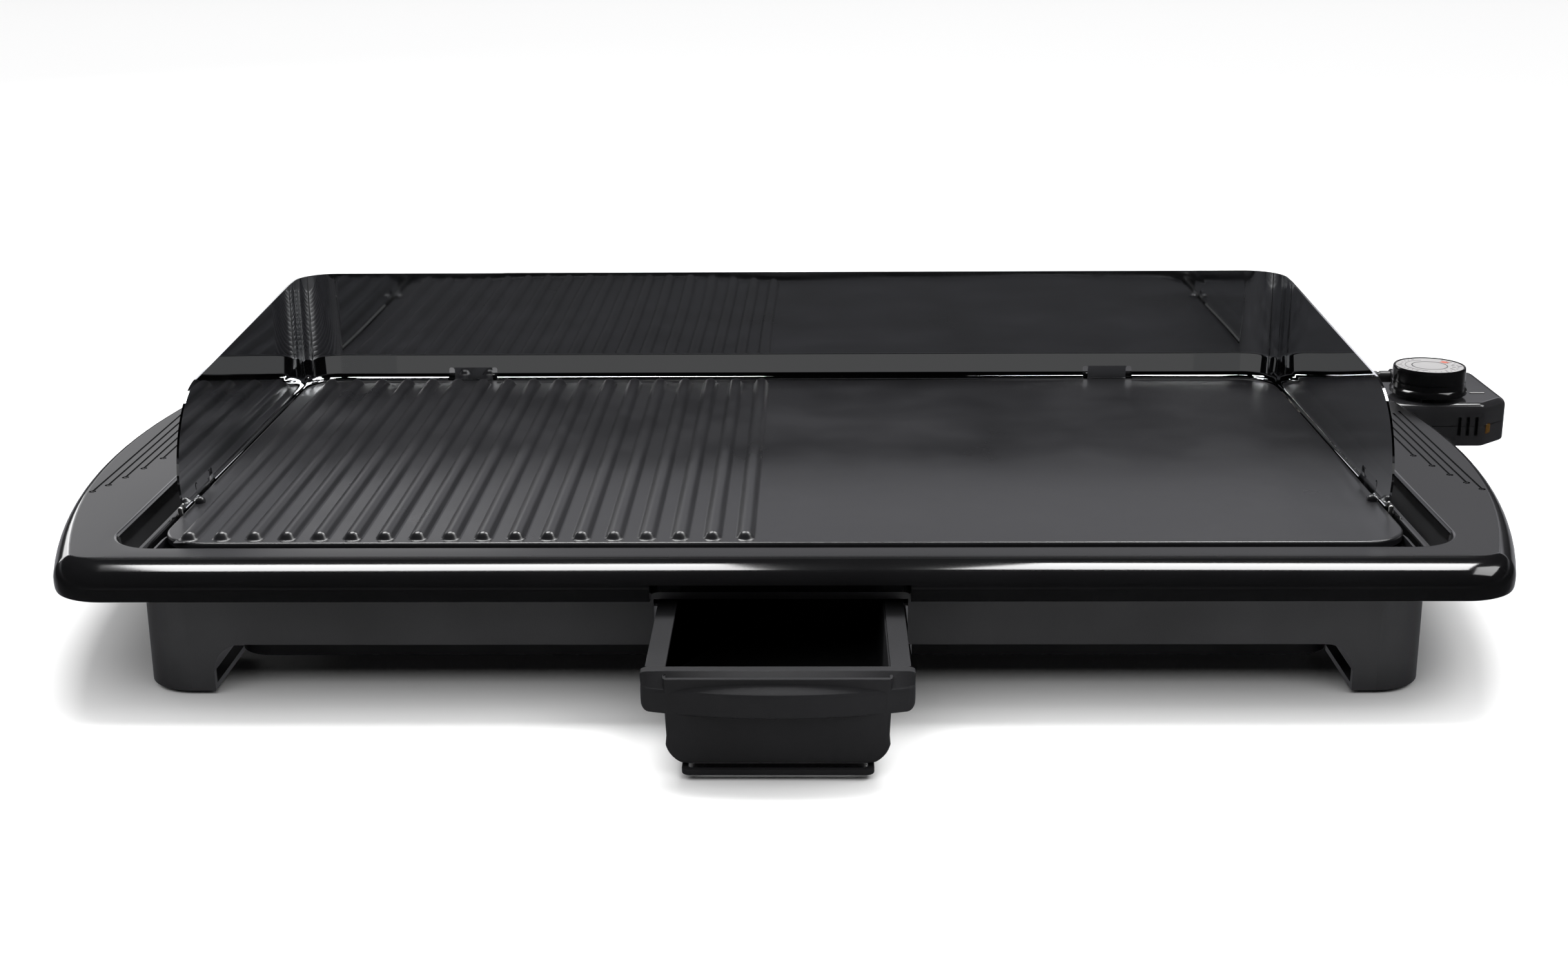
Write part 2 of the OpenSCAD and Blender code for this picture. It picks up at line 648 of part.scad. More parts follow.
module thermostat_frame() {
    color([0.7, 0.7, 0.72]) difference() {
        union() {
            block([311, 88, control_bottom + wall + 2], [371.5, 120.5, control_bottom + wall + 3.4]);
            block([345, 120, control_bottom + wall + 2], [371.5, 124, control_bottom + wall + 3.4]);
            block([312, 101, control_bottom + wall + 2], [313.5, 113, 53]);
            rod_z(knob_x, knob_y, control_bottom + wall, control_bottom + wall + 3.4, 6);
        }
        rod_z(knob_x, knob_y, control_bottom + wall + 0.8, 50, 3.05);
        rod_z(lever_x, lever_y, 30, 50, 1.5);
        rod_x(300, 320, control_y, heater_z, 3.5);
    }
}
module lever_pin() { color([0.75, 0.75, 0.77]) rod_z(lever_x, lever_y, control_bottom + wall + 2, 51, 1.5); }
module blade(y, x0, x1) { block([x0, y, 44], [x1, y + 0.5, 50]); }
module fixed_contact() {
    color([0.8, 0.65, 0.3]) {
        blade(119, 330, 369);
        rod_y(333, 117.6, 119, 47, 2.2);
    }
}
module moving_contact() {
    color([0.8, 0.65, 0.3]) {
        blade(115, 330, 369);
        rod_y(333, 115.5, 116.9, 47, 2.2);
    }
}
module blade_stack() {
    color([0.88, 0.86, 0.8]) {
        block([361, 112, 40.6], [368, 115, 51]);
        block([361, 115.5, 40.6], [368, 119, 51]);
        block([361, 119.5, 40.6], [368, 122.5, 51]);
    }
}
module lamp_bulb() {
    color([1, 0.6, 0.3]) {
        rod_z(366.5, 91.5, 40.6, 46, 2.2);
        translate([366.5, 91.5, 46]) sphere(2.2, $fn = round_fn);
    }
}
module lamp_lens() { color([0.9, 0.6, 0.2]) at_lens() translate([-0.7, 0, 0]) cube([3.4, 4, 5.2], center = true); }
module lamp_resistor() { color([0.7, 0.6, 0.45]) rod_y(360, 132, 142, control_bottom + wall + 1.5, 1.5); }

// ---- dial, its shaft and the cam that it turns ----
knob_base = control_top + 2;
knob_top = 74.6;
module dial_knob() {
    color([0.05, 0.05, 0.06]) translate([knob_x, knob_y, 0]) difference() {
        union() {
            translate([0, 0, knob_base]) cylinder(h = 3.6, r = knob_d/2 + 1.2, $fn = round_fn);
            translate([0, 0, knob_base]) cylinder(h = knob_top - 1 - knob_base, r = knob_d/2, $fn = round_fn);
        }
        translate([0, 0, knob_base - e]) cylinder(h = 10, r = 14, $fn = round_fn);
        translate([0, 0, knob_base - e]) cylinder(h = 13, r = 3, $fn = round_fn);
    }
    color([0.05, 0.05, 0.06]) translate([knob_x, knob_y, knob_base]) difference() {
        cylinder(h = 10, r = 5.5, $fn = round_fn);
        translate([0, 0, -e]) cylinder(h = 20, r = 3, $fn = round_fn);
    }
}
module dial_face() {
    color([0.65, 0.65, 0.67]) rod_z(knob_x, knob_y, knob_top - 1, knob_top, knob_d/2 - 0.3);
}
module dial_shaft() {
    color([0.75, 0.75, 0.77]) {
        rod_z(knob_x, knob_y, control_bottom + wall + 1, knob_base + 12, 3);
    }
}
module knob_clip() {
    color([0.75, 0.75, 0.77]) translate([knob_x, knob_y, knob_base + 2]) difference() {
        cylinder(h = 3, r = 6.3, $fn = round_fn);
        translate([0, 0, -e]) cylinder(h = 5, r = 5.5, $fn = round_fn);
    }
}
module adjusting_cam() {
    spiral = [for (a = [-20:5:300]) let (r = cam_r + cam_rise*max(a, 0)/dial_turn)
        [r*cos(a + 90), r*sin(a + 90)]];
    color([0.85, 0.84, 0.8]) translate([knob_x, knob_y, 45]) difference() {
        linear_extrude(3) polygon(spiral);
        translate([0, 0, -e]) cylinder(h = 5, r = 3, $fn = round_fn);
    }
}
module cam_lever() {
    color([0.75, 0.75, 0.77]) difference() {
        union() {
            rod_z(knob_x, lever_y, 45.2, 47.8, lever_nose);
            block([knob_x, lever_y - lever_nose, 45.2], [lever_x, lever_y + lever_nose, 47.8]);
            rod_z(lever_x, lever_y, 44, 50, 3);
        }
        rod_z(lever_x, lever_y, 40, 60, 1.55);
    }
}

// ---- cord and plug ----
module strain_relief() {
    color([0.05, 0.05, 0.06]) {
        swept(relief_path, 4.6, 3.6, 12);
        rod_x(338, 341, 158, 53.5, 3.2);
    }
}
module power_cord() { color([0.06, 0.06, 0.06]) swept(cord_route, cord_r, cord_r, 8); }
module cord_coil() {
    color([0.06, 0.06, 0.06]) translate([coil_x, coil_y, 0]) {
        rotate_extrude($fn = round_fn)
            translate([coil_in - cord_r, lay_z - cord_r]) square([coil_out - coil_in + 2*cord_r, 2*cord_r]);
        rotate([0, 0, -90]) rotate_extrude(angle = 180, $fn = round_fn)
            translate([coil_in - cord_r, tail_z - cord_r]) square([7 + 2*cord_r, 2*cord_r]);
    }
}
module cord_tail() { color([0.06, 0.06, 0.06]) rod_x(plug_x, coil_x, tail_y, tail_z, cord_r); }
module cord_tie() {
    y = coil_y;
    color([0.1, 0.1, 0.1]) difference() {
        block([coil_x - coil_out - 4.3, y - 4, 0], [coil_x - coil_in + 5, y + 4, 7.9]);
        block([coil_x - coil_out - 3.5, y - 5, 0.2], [coil_x - coil_in + 4.2, y + 5, 7.1]);
    }
}
module plug_body() {
    color([0.05, 0.05, 0.06]) {
        block([plug_x - 38, tail_y - 13, 0.3], [plug_x - 12, tail_y + 13, 20.3]);
        translate([plug_x - 12, tail_y, tail_z]) rotate([0, 90, 0])
            cylinder(h = 12, r1 = 9.5, r2 = 4.6, $fn = round_fn);
    }
}
module plug_blades() {
    color([0.8, 0.65, 0.3])
        for (s = [-1, 1])
            block([plug_x - 55, tail_y + s*6.35 - 0.75, tail_z - 3.2],
                [plug_x - 38, tail_y + s*6.35 + 0.75, tail_z + 3.2]);
}

place() top_frame();
place() base_shell();
place() heat_pan();
place() foot_pads();
place() frame_screws();
place() griddle_plate();
place() plate_standoffs();
place() plate_screws();
place() heating_element();
place() element_clips();
place() element_insulators();
place() element_terminals();
place() probe_sleeve();
place() terminal_shroud();
place() drain_spout();
place() guard_studs();
place() drawer_guides();
place() splash_guard();
place() drip_drawer();
place() control_upper_housing();
place() control_lower_housing();
place() control_screws();
place() probe_tube();
place() sensor_rod();
place() terminal_block();
place() contact_sleeves();
place() thermostat_frame();
place() lever_pin();
place() fixed_contact();
place() moving_contact();
place() blade_stack();
place() lamp_bulb();
place() lamp_lens();
place() lamp_resistor();
place() dial_knob();
place() dial_face();
place() dial_shaft();
place() knob_clip();
place() adjusting_cam();
place() cam_lever();
place() strain_relief();
place() power_cord();
place() cord_coil();
place() cord_tail();
place() cord_tie();
place() plug_body();
place() plug_blades();
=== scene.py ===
import math

import bmesh
import bpy
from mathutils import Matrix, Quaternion, Vector


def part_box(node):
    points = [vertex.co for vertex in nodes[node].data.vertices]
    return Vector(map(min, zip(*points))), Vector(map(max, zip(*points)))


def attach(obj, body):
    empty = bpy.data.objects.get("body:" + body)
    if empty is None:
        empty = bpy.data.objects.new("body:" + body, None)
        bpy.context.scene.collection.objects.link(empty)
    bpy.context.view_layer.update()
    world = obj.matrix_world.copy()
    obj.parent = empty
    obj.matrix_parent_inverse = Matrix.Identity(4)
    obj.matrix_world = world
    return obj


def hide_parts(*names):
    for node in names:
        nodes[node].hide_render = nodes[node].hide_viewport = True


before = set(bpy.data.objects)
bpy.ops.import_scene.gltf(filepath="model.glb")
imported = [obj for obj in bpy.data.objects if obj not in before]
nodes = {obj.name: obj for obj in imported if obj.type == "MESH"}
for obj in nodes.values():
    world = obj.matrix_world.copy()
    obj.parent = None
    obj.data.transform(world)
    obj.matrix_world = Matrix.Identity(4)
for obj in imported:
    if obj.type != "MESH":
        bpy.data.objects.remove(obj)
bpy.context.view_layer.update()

MM = 0.001

# Lengths below are millimetres from the middle of the base, at table height, front = -Y,
# as in the CAD model. MIDDLE is that point in the row frame.
base_low, base_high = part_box("base_shell")
MIDDLE = Vector(((base_low.x + base_high.x) / 2, (base_low.y + base_high.y) / 2, 0))


def at(x, y, z):
    return MIDDLE + Vector((x, y, z)) * MM


def size_of(node):
    """Lowest and highest corner of a CAD node in the millimetres used here."""
    low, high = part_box(node)
    return (low - MIDDLE) / MM, (high - MIDDLE) / MM


def sind(degrees):
    return math.sin(math.radians(degrees))


def cosd(degrees):
    return math.cos(math.radians(degrees))


# ---------- camera
LENS = 47.46
CAMERA_AT = (14.4, -975.8, 331.4)
PITCH, YAW, BANK = 16.757, 0.912, -0.369


def make_camera():
    data = bpy.data.cameras.new("camera")
    data.lens = LENS
    data.clip_end = 60
    camera = bpy.data.objects.new("camera", data)
    camera.location = at(*CAMERA_AT)
    forward = Vector((-sind(YAW), cosd(YAW), -math.tan(math.radians(PITCH))))
    bank = Quaternion((0, 0, 1), math.radians(BANK))
    camera.rotation_mode = "QUATERNION"
    camera.rotation_quaternion = forward.to_track_quat("-Z", "Y") @ bank
    bpy.context.scene.collection.objects.link(camera)
    bpy.context.scene.camera = camera


make_camera()


# ---------- materials
def shader_of(mat):
    return mat.node_tree.nodes["Principled BSDF"]


def material(name, colour, rough, metal=0.0, specular=0.5):
    mat = bpy.data.materials.new(name)
    mat.use_nodes = True
    shader = shader_of(mat)
    shader.inputs["Base Color"].default_value = (*colour, 1)
    shader.inputs["Roughness"].default_value = rough
    shader.inputs["Metallic"].default_value = metal
    shader.inputs["Specular IOR Level"].default_value = specular
    return mat


def add(mat, kind):
    return mat.node_tree.nodes.new(kind)


def join(mat, source, output, target, socket):
    mat.node_tree.links.new(source.outputs[output], target.inputs[socket])


def times_and_add(mat, factor):
    """A node that gives its first input times factor, plus its third input."""
    node = add(mat, "ShaderNodeMath")
    node.operation = "MULTIPLY_ADD"
    node.inputs[1].default_value = factor
    return node


def noise(mat, scale, detail=3.0, stretch=(1, 1, 1)):
    """A noise over the object's own coordinates, stretched."""
    node = add(mat, "ShaderNodeTexNoise")
    node.inputs["Scale"].default_value = scale
    node.inputs["Detail"].default_value = detail
    mapping = add(mat, "ShaderNodeMapping")
    mapping.inputs["Scale"].default_value = stretch
    join(mat, add(mat, "ShaderNodeTexCoord"), "Object", mapping, "Vector")
    join(mat, mapping, "Vector", node, "Vector")
    return node


def spread(mat, source, output, low, high, a=0.3, b=0.7):
    """Maps a node's output from a..b to low..high."""
    node = add(mat, "ShaderNodeMapRange")
    for socket, value in (("From Min", a), ("From Max", b), ("To Min", low), ("To Max", high)):
        node.inputs[socket].default_value = value
    join(mat, source, output, node, "Value")
    return node


def bumps(mat, source, output, depth):
    """Turns a node's output into a bump, depth in millimetres."""
    bump = add(mat, "ShaderNodeBump")
    bump.inputs["Strength"].default_value = 1.0
    bump.inputs["Distance"].default_value = depth * MM
    join(mat, source, output, bump, "Height")
    join(mat, bump, "Normal", shader_of(mat), "Normal")


def grain(mat, scale, depth, detail=4.0, stretch=(1, 1, 1)):
    """Fine bump from a noise."""
    bumps(mat, noise(mat, scale, detail, stretch), "Fac", depth)


def vary(mat, scale, rough, tints=None, stretch=(1, 1, 1)):
    """Lets roughness and, with tints, colour change slowly over the surface."""
    source = noise(mat, scale, stretch=stretch)
    join(mat, spread(mat, source, "Fac", *rough), "Result", shader_of(mat), "Roughness")
    if tints:
        ramp = add(mat, "ShaderNodeValToRGB")
        for element, place, tint in zip(ramp.color_ramp.elements, (0.3, 0.7), tints):
            element.position = place
            element.color = (*tint, 1)
        join(mat, source, "Fac", ramp, "Fac")
        join(mat, ramp, "Color", shader_of(mat), "Base Color")


def bluish(shade, blue):
    return shade, shade, shade * blue


def moulded(name, shade, rough, grain_scale, grain_depth, specular=0.5):
    """Black moulded plastic: fine grain, slight changes of gloss and shade."""
    mat = material(name, bluish(shade, 1.06), sum(rough) / 2, specular=specular)
    vary(mat, 14, rough, (bluish(shade * 0.85, 1.06), bluish(shade * 1.2, 1.08)))
    grain(mat, grain_scale, grain_depth)
    return mat


# The normal's Z where the roll ends and where the level begins
ROLLED, LEVEL = 0.985, 0.9995
ROLLED_ROUGH, LEVEL_ROUGH, ROUGH_SWING = 0.07, 0.26, 0.12


def rolled_gloss(mat):
    """Satin where the surface is level, glossy where it rolls over (told by its normal's Z)."""
    roughness = shader_of(mat).inputs["Roughness"]
    geometry = add(mat, "ShaderNodeNewGeometry")
    split = add(mat, "ShaderNodeSeparateXYZ")
    join(mat, geometry, "True Normal", split, "Vector")
    level_part = spread(mat, split, "Z", ROLLED_ROUGH, LEVEL_ROUGH, ROLLED, LEVEL)
    mix = times_and_add(mat, ROUGH_SWING)
    mat.node_tree.links.new(roughness.links[0].from_socket, mix.inputs[0])
    join(mat, level_part, "Result", mix, 2)
    mat.node_tree.links.new(mix.outputs["Value"], roughness)
    return mat


def see_through(name, colour, rough, share, grain_scale, grain_depth, stretch=(1, 1, 1)):
    """Lets that share of the light pass."""
    mat = material(name, colour, rough)
    shader_of(mat).inputs["Transmission Weight"].default_value = share
    grain(mat, grain_scale, grain_depth, stretch=stretch)
    return mat


def ink(name, colour):
    mat = material(name, colour, 0.4)
    grain(mat, 900, 0.004)
    return mat


def steatite():
    mat = material("steatite", (0.8, 0.77, 0.7), 0.45)
    vary(mat, 60, (0.4, 0.55), ((0.74, 0.7, 0.62), (0.84, 0.82, 0.76)))
    grain(mat, 900, 0.02)
    return mat


def lacquer():
    mat = material("resistor_lacquer", (0.55, 0.4, 0.24), 0.3)
    vary(mat, 300, (0.25, 0.4), ((0.5, 0.36, 0.2), (0.6, 0.45, 0.28)), (1, 0.1, 1))
    return mat


def nonstick():
    """Satin grey-black coating over cast metal: fine mottle, faint scratches along X."""
    mat = material("nonstick_coating", (0.01, 0.01, 0.011), 0.34, specular=0.6)
    vary(mat, 18, (0.27, 0.36), ((0.008, 0.008, 0.009), (0.012, 0.012, 0.0135)))
    mottle = noise(mat, 2600)
    scratch = noise(mat, 60, 6.0, (0.08, 1, 1))
    both = times_and_add(mat, 0.25)
    join(mat, scratch, "Fac", both, 0)
    join(mat, mottle, "Fac", both, 2)
    bumps(mat, both, "Value", 0.02)
    return mat


def mirror():
    """Polished stainless sheet with a little long waviness."""
    mat = material("polished_sheet", (0.78, 0.79, 0.8), 0.03, metal=1.0)
    vary(mat, 25, (0.02, 0.05))
    grain(mat, 9, 0.45, 1.0, (1, 1, 1.6))
    return mat


def metal_sheet(name, colour, rough, metal=1.0):
    """Metal with a fine brushed grain and slight changes of gloss and shade."""
    mat = material(name, colour, sum(rough) / 2, metal=metal)
    low = tuple(c * 0.85 for c in colour)
    high = tuple(min(1, c * 1.12) for c in colour)
    vary(mat, 40, rough, (low, high))
    grain(mat, 500, 0.02, stretch=(1, 0.15, 1))
    return mat


def dial_print():
    """Silver print with a fine grain."""
    mat = material("dial_silver", (0.3, 0.3, 0.3), 0.4, metal=0.2, specular=0.3)
    vary(mat, 30, (0.36, 0.46), ((0.27, 0.265, 0.265), (0.33, 0.325, 0.325)))
    grain(mat, 1500, 0.01)
    return mat


M = {
    "frame": rolled_gloss(moulded("frame_phenolic", 0.004, (0.2, 0.3), 1300, 0.004)),
    "shell": moulded("matte_shell", 0.036, (0.5, 0.58), 1500, 0.05),
    "drawer": moulded("matte_drawer", 0.015, (0.5, 0.58), 1600, 0.05, 0.1),
    "control": moulded("gloss_housing", 0.014, (0.1, 0.15), 700, 0.003),
    "knob": moulded("gloss_knob", 0.003, (0.1, 0.15), 700, 0.003),
    "plate": nonstick(),
    "mirror": mirror(),
    "steel": metal_sheet("zinc_plate", (0.6, 0.6, 0.58), (0.28, 0.42)),
    "pan": metal_sheet("dark_pan", (0.03, 0.03, 0.032), (0.4, 0.55), 0.6),
    "sheath": metal_sheet("element_sheath", (0.2, 0.17, 0.16), (0.45, 0.6), 0.8),
    "brass": metal_sheet("brass", (0.72, 0.55, 0.22), (0.25, 0.4)),
    "rubber": moulded("foot_rubber", 0.02, (0.7, 0.8), 1200, 0.06, 0.3),
    "ceramic": steatite(),
    "dial": dial_print(),
    "mark": ink("dial_ink", (0.03, 0.03, 0.032)),
    "red": ink("dial_red_ink", (0.35, 0.09, 0.06)),
    "lamp": see_through("amber_lens", (0.1, 0.05, 0.008), 0.12, 0.5, 500, 0.02, (1, 1, 0.05)),
    "glass": see_through("neon_glass", (0.9, 0.55, 0.35), 0.05, 0.8, 200, 0.01),
    "resistor": lacquer(),
    "cord": moulded("cord_sheath", 0.01, (0.38, 0.46), 1400, 0.03),
    "plug": moulded("plug_vinyl", 0.01, (0.32, 0.42), 1200, 0.03)}


# ---------- mesh tools
def arc(cx, cy, r, a0, a1, n):
    """Points on a circle, from angle a0 to a1 in degrees."""
    steps = [math.radians(a0 + (a1 - a0) * i / n) for i in range(n + 1)]
    return [(cx + r * math.cos(a), cy + r * math.sin(a)) for a in steps]


def circle(cx, cy, r):
    return arc(cx, cy, r, 0, 345, 23)


def rounded_rect(x0, y0, x1, y1, r, n=8):
    return (arc(x0 + r, y0 + r, r, 180, 270, n) + arc(x1 - r, y0 + r, r, 270, 360, n)
            + arc(x1 - r, y1 - r, r, 0, 90, n) + arc(x0 + r, y1 - r, r, 90, 180, n))


def rounded(corners, inset=0.0, n=6):
    """A counter-clockwise outline of (x, y, radius) corners, rounded and moved inwards."""
    out = []
    count = len(corners)
    for i, (x, y, r) in enumerate(corners):
        p = Vector((x, y))
        before = Vector(corners[i - 1][:2])
        after = Vector(corners[(i + 1) % count][:2])
        d0, d1 = (p - before).normalized(), (after - p).normalized()
        bend = d0.x * d1.y - d0.y * d1.x
        n0, n1 = Vector((-d0.y, d0.x)), Vector((-d1.y, d1.x))
        half = n0 + n1
        centre = p + half / half.dot(n0) * (r if bend > 0 else -r)
        radius = max(r - inset if bend > 0 else r + inset, 0.01)
        start, end = (-n0, -n1) if bend > 0 else (n0, n1)
        a0 = math.atan2(start.y, start.x)
        a1 = math.atan2(end.y, end.x)
        sweep = (a1 - a0 + math.pi) % (2 * math.pi) - math.pi
        for k in range(n + 1):
            a = a0 + sweep * k / n
            out.append((centre.x + radius * math.cos(a), centre.y + radius * math.sin(a)))
    return out


def level(outline, z):
    return [(x, y, z) for x, y in outline]


def loft(rings, capped=True):
    """Quads between closed rings of equal length, with a face over each end."""
    count = len(rings[0])
    points = [p for ring in rings for p in ring]
    faces = []
    for i in range(len(rings) - 1):
        for k in range(count):
            a, b = i * count + k, i * count + (k + 1) % count
            faces.append((a, b, b + count, a + count))
    if capped:
        faces.append(tuple(reversed(range(count))))
        faces.append(tuple(range(len(points) - count, len(points))))
    return points, faces


def tube_loop(rings):
    """Quads between rings, the last joined to the first."""
    points, faces = loft(rings, False)
    count, total = len(rings[0]), len(points)
    for k in range(count):
        a, b = total - count + k, total - count + (k + 1) % count
        faces.append((a, b, (k + 1) % count, k))
    return points, faces


def merge(*parts):
    """One part made of several."""
    points, faces = [], []
    for p, f in parts:
        faces += [tuple(i + len(points) for i in face) for face in f]
        points += p
    return points, faces


def prism(outline, z0, z1):
    return loft([level(outline, z0), level(outline, z1)])


def box(x0, y0, z0, x1, y1, z1):
    return prism([(x0, y0), (x1, y0), (x1, y1), (x0, y1)], z0, z1)


def lathe(profile, cx, cy, n):
    """profile: (radius, z) from the axis at the bottom round to the axis at the top."""
    rings = []
    for r, z in profile:
        rings.append([(cx + max(r, 0.001) * math.cos(2 * math.pi * k / n),
                       cy + max(r, 0.001) * math.sin(2 * math.pi * k / n), z) for k in range(n)])
    return loft(rings)


def turned(part, swap):
    """Rearranges a part's coordinates."""
    points, faces = part
    return [tuple(p[i] for i in swap) for p in points], faces


def prism_x(outline, x0, x1):
    """A prism along X, its outline in y and z."""
    return turned(prism(outline, x0, x1), (2, 0, 1))


def prism_y(outline, y0, y1):
    """A prism along Y, its outline in x and z."""
    return turned(prism(outline, y0, y1), (0, 2, 1))


def ring_part(outer, inner, z0, z1):
    return tube_loop([level(outer, z0), level(outer, z1), level(inner, z1), level(inner, z0)])


def raw(name, part):
    """A plain object of a part's points and faces; each shell's faces point outwards."""
    points, faces = part
    mesh = bpy.data.meshes.new(name)
    mesh.from_pydata([at(*p) for p in points], [], faces)
    mesh.validate()
    obj = bpy.data.objects.new(name, mesh)
    bpy.context.scene.collection.objects.link(obj)
    work = bmesh.new()
    work.from_mesh(mesh)
    bmesh.ops.recalc_face_normals(work, faces=work.faces)
    work.to_mesh(mesh)
    work.free()
    return obj


def settle(obj):
    """Replaces an object's mesh by what its modifiers make of it."""
    graph = bpy.context.evaluated_depsgraph_get()
    made = bpy.data.meshes.new_from_object(obj.evaluated_get(graph))
    obj.modifiers.clear()
    obj.data = made
    return obj


def joined(a, b):
    """One object with the faces of both."""
    work = bmesh.new()
    work.from_mesh(a.data)
    work.from_mesh(b.data)
    work.to_mesh(a.data)
    work.free()
    bpy.data.objects.remove(b)
    return a


def combine(obj, others, operation="DIFFERENCE"):
    """Cuts the other parts out of an object, or adds them with UNION."""
    for part in others:
        tool = raw("tool", part)
        mod = obj.modifiers.new("combine", "BOOLEAN")
        mod.operation = operation
        mod.solver = "MANIFOLD"
        mod.object = tool
        settle(obj)
        bpy.data.objects.remove(tool)
    return obj


def soften(obj, width, segments=2, angle=32):
    """Rounds an object's hard edges; width is in millimetres."""
    mod = obj.modifiers.new("bevel", "BEVEL")
    mod.width = width * MM
    mod.segments = segments
    mod.limit_method = "ANGLE"
    mod.angle_limit = math.radians(angle)
    return obj


def tidy_faces(obj):
    """Joins the flat triangles that a boolean leaves."""
    mod = obj.modifiers.new("flat", "DECIMATE")
    mod.decimate_type = "DISSOLVE"
    mod.angle_limit = math.radians(0.2)
    return obj


def finish_piece(obj, name, body, mat, replaced=(), smooth=35):
    """Names, dresses and shades a piece, and says which body it rides on."""
    settle(obj)
    obj.name = obj.data.name = name
    mesh = obj.data
    mesh.materials.clear()
    mesh.materials.append(M[mat])
    mesh.polygons.foreach_set("use_smooth", [True] * len(mesh.polygons))
    mesh.set_sharp_from_angle(angle=math.radians(smooth))
    mod = obj.modifiers.new("normals", "WEIGHTED_NORMAL")
    mod.keep_sharp = True
    mod.weight = 80
    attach(obj, body)
    if replaced:
        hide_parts(*replaced)
    return obj


# ---------- cord, plug and strain relief
ROUTE = [(315, 166, 53), (310.5, 171.5, 52.4), (307.8, 179, 51), (307, 188, 48.5),
         (307, 197, 44.5), (307, 206, 38.5), (306.8, 214, 31.5), (306, 222, 24),
         (304.2, 230, 16.5), (301, 238, 10), (296.2, 245, 5.8), (289.5, 250.8, 3.9),
         (281, 255, 3.5), (271, 258, 3.5), (260, 259.4, 3.5), (245, 259.5, 3.5)]
RELIEF = [(341, 158, 53.5), (338, 158, 53.5), (334, 158, 53.5), (327, 159, 53.4),
          (320.5, 161.8, 53.2), (315, 166, 53)]
COIL = (245, 304.5)
COIL_OUT, COIL_IN, LAST_TURN = 45, 28, 35
COIL_SWEEP, LAST_SWEEP, LAST_RISE = 900, 180, 2.2
LAY_Z, TAIL_Z, TAIL_Y = 3.5, 10.3, COIL[1] - LAST_TURN
PLUG_X = 187
CORD_WIDTH, LOBE, DIP_ANGLE = 6.6, 2.3, 22


def smooth_line(points, between=6):
    """A Catmull-Rom curve through the points."""
    p = [Vector(v) for v in points]
    p = [2 * p[0] - p[1]] + p + [2 * p[-1] - p[-2]]
    out = []
    for i in range(1, len(p) - 2):
        for k in range(between):
            t = k / between
            a, b, c, d = p[i - 1:i + 3]
            out.append(0.5 * ((2 * b) + (c - a) * t + (2 * a - 5 * b + 4 * c - d) * t ** 2
                              + (3 * b - a - 3 * c + d) * t ** 3))
    return out + [p[-2]]


def on_coil(a, r, z):
    return Vector((COIL[0] + r * cosd(a), COIL[1] + r * sind(a), z))


def coil_turns(steps=100, last_steps=24):
    """Two and a half turns inwards, clockwise from the south, then half a turn up and out."""
    out = []
    for k in range(1, steps + 1):
        t = k / steps
        out.append(on_coil(-90 - COIL_SWEEP * t, COIL_OUT + (COIL_IN - COIL_OUT) * t, LAY_Z))
    for k in range(1, last_steps + 1):
        t = k / last_steps
        ease = t * t * (3 - 2 * t)
        z = LAY_Z + (TAIL_Z - LAY_Z) * min(1, LAST_RISE * t)
        out.append(on_coil(90 - LAST_SWEEP * t, COIL_IN + (LAST_TURN - COIL_IN) * ease, z))
    return out


def two_lobes(n=8):
    """Section of a twin cord, taller than wide: two round lobes with a groove between."""
    shift = CORD_WIDTH / 2 - LOBE
    return (arc(0, shift, LOBE, -DIP_ANGLE, 180 + DIP_ANGLE, n)
            + arc(0, -shift, LOBE, 180 - DIP_ANGLE, 360 + DIP_ANGLE, n))


def swept(path, section, scale=lambda i: 1.0):
    """A section carried along a path; its second axis stays as upright as it can."""
    rings = []
    for i, p in enumerate(path):
        ahead = (path[min(i + 1, len(path) - 1)] - path[max(i - 1, 0)]).normalized()
        side = ahead.cross(Vector((0, 0, 1))).normalized()
        up = side.cross(ahead)
        s = scale(i)
        rings.append([tuple(p + side * (u * s) + up * (v * s)) for u, v in section])
    return loft(rings)


def even(path, step):
    """The path again, with points an even step apart."""
    out, left = [path[0]], step
    for a, b in zip(path, path[1:]):
        length = (b - a).length
        while length >= left > 0:
            a = a + (b - a) * (left / length)
            out.append(a)
            length, left = (b - a).length, step
        left -= length
    return out + ([path[-1]] if (out[-1] - path[-1]).length > 0.2 * step else [])


def make_cord():
    """The lead, with the path that its middle follows: exit, coil and a straight tail."""
    path = smooth_line(ROUTE)[:-1]
    path += [Vector(ROUTE[-1])] + coil_turns()
    path += [Vector((COIL[0] - 2 * k, TAIL_Y, TAIL_Z)) for k in range(1, 26)]
    path += [Vector((PLUG_X - 3, TAIL_Y, TAIL_Z))]
    path = even(path, 2.2)
    cord = raw("cord", swept(path, two_lobes()))
    finish_piece(cord, "cord_lead", "control", "cord",
                 ("power_cord", "cord_coil", "cord_tail"))
    return cord, path


def make_relief():
    """Tapered sleeve with ring grooves that guides the cord out of the housing."""
    path = even(smooth_line(RELIEF, 8), 0.9)
    count = len(path)

    def width(i):
        t = i / (count - 1)
        grooves = 0.84 if 0.3 < t < 0.92 and i % 4 == 0 else 1.0
        return (1.36 - 0.3 * t) * grooves

    wall, y, z = RELIEF[1]
    collar = [(0, wall - 1.4), (4.9, wall - 1.4), (5.3, wall - 1), (5.3, wall), (0, wall)]
    collar = turned(lathe(collar, y, z, 32), (2, 0, 1))
    piece = raw("relief", merge(swept(path, two_lobes(), width), collar))
    finish_piece(piece, "cord_strain_relief", "control", "plug",
                 ("strain_relief",), 50)


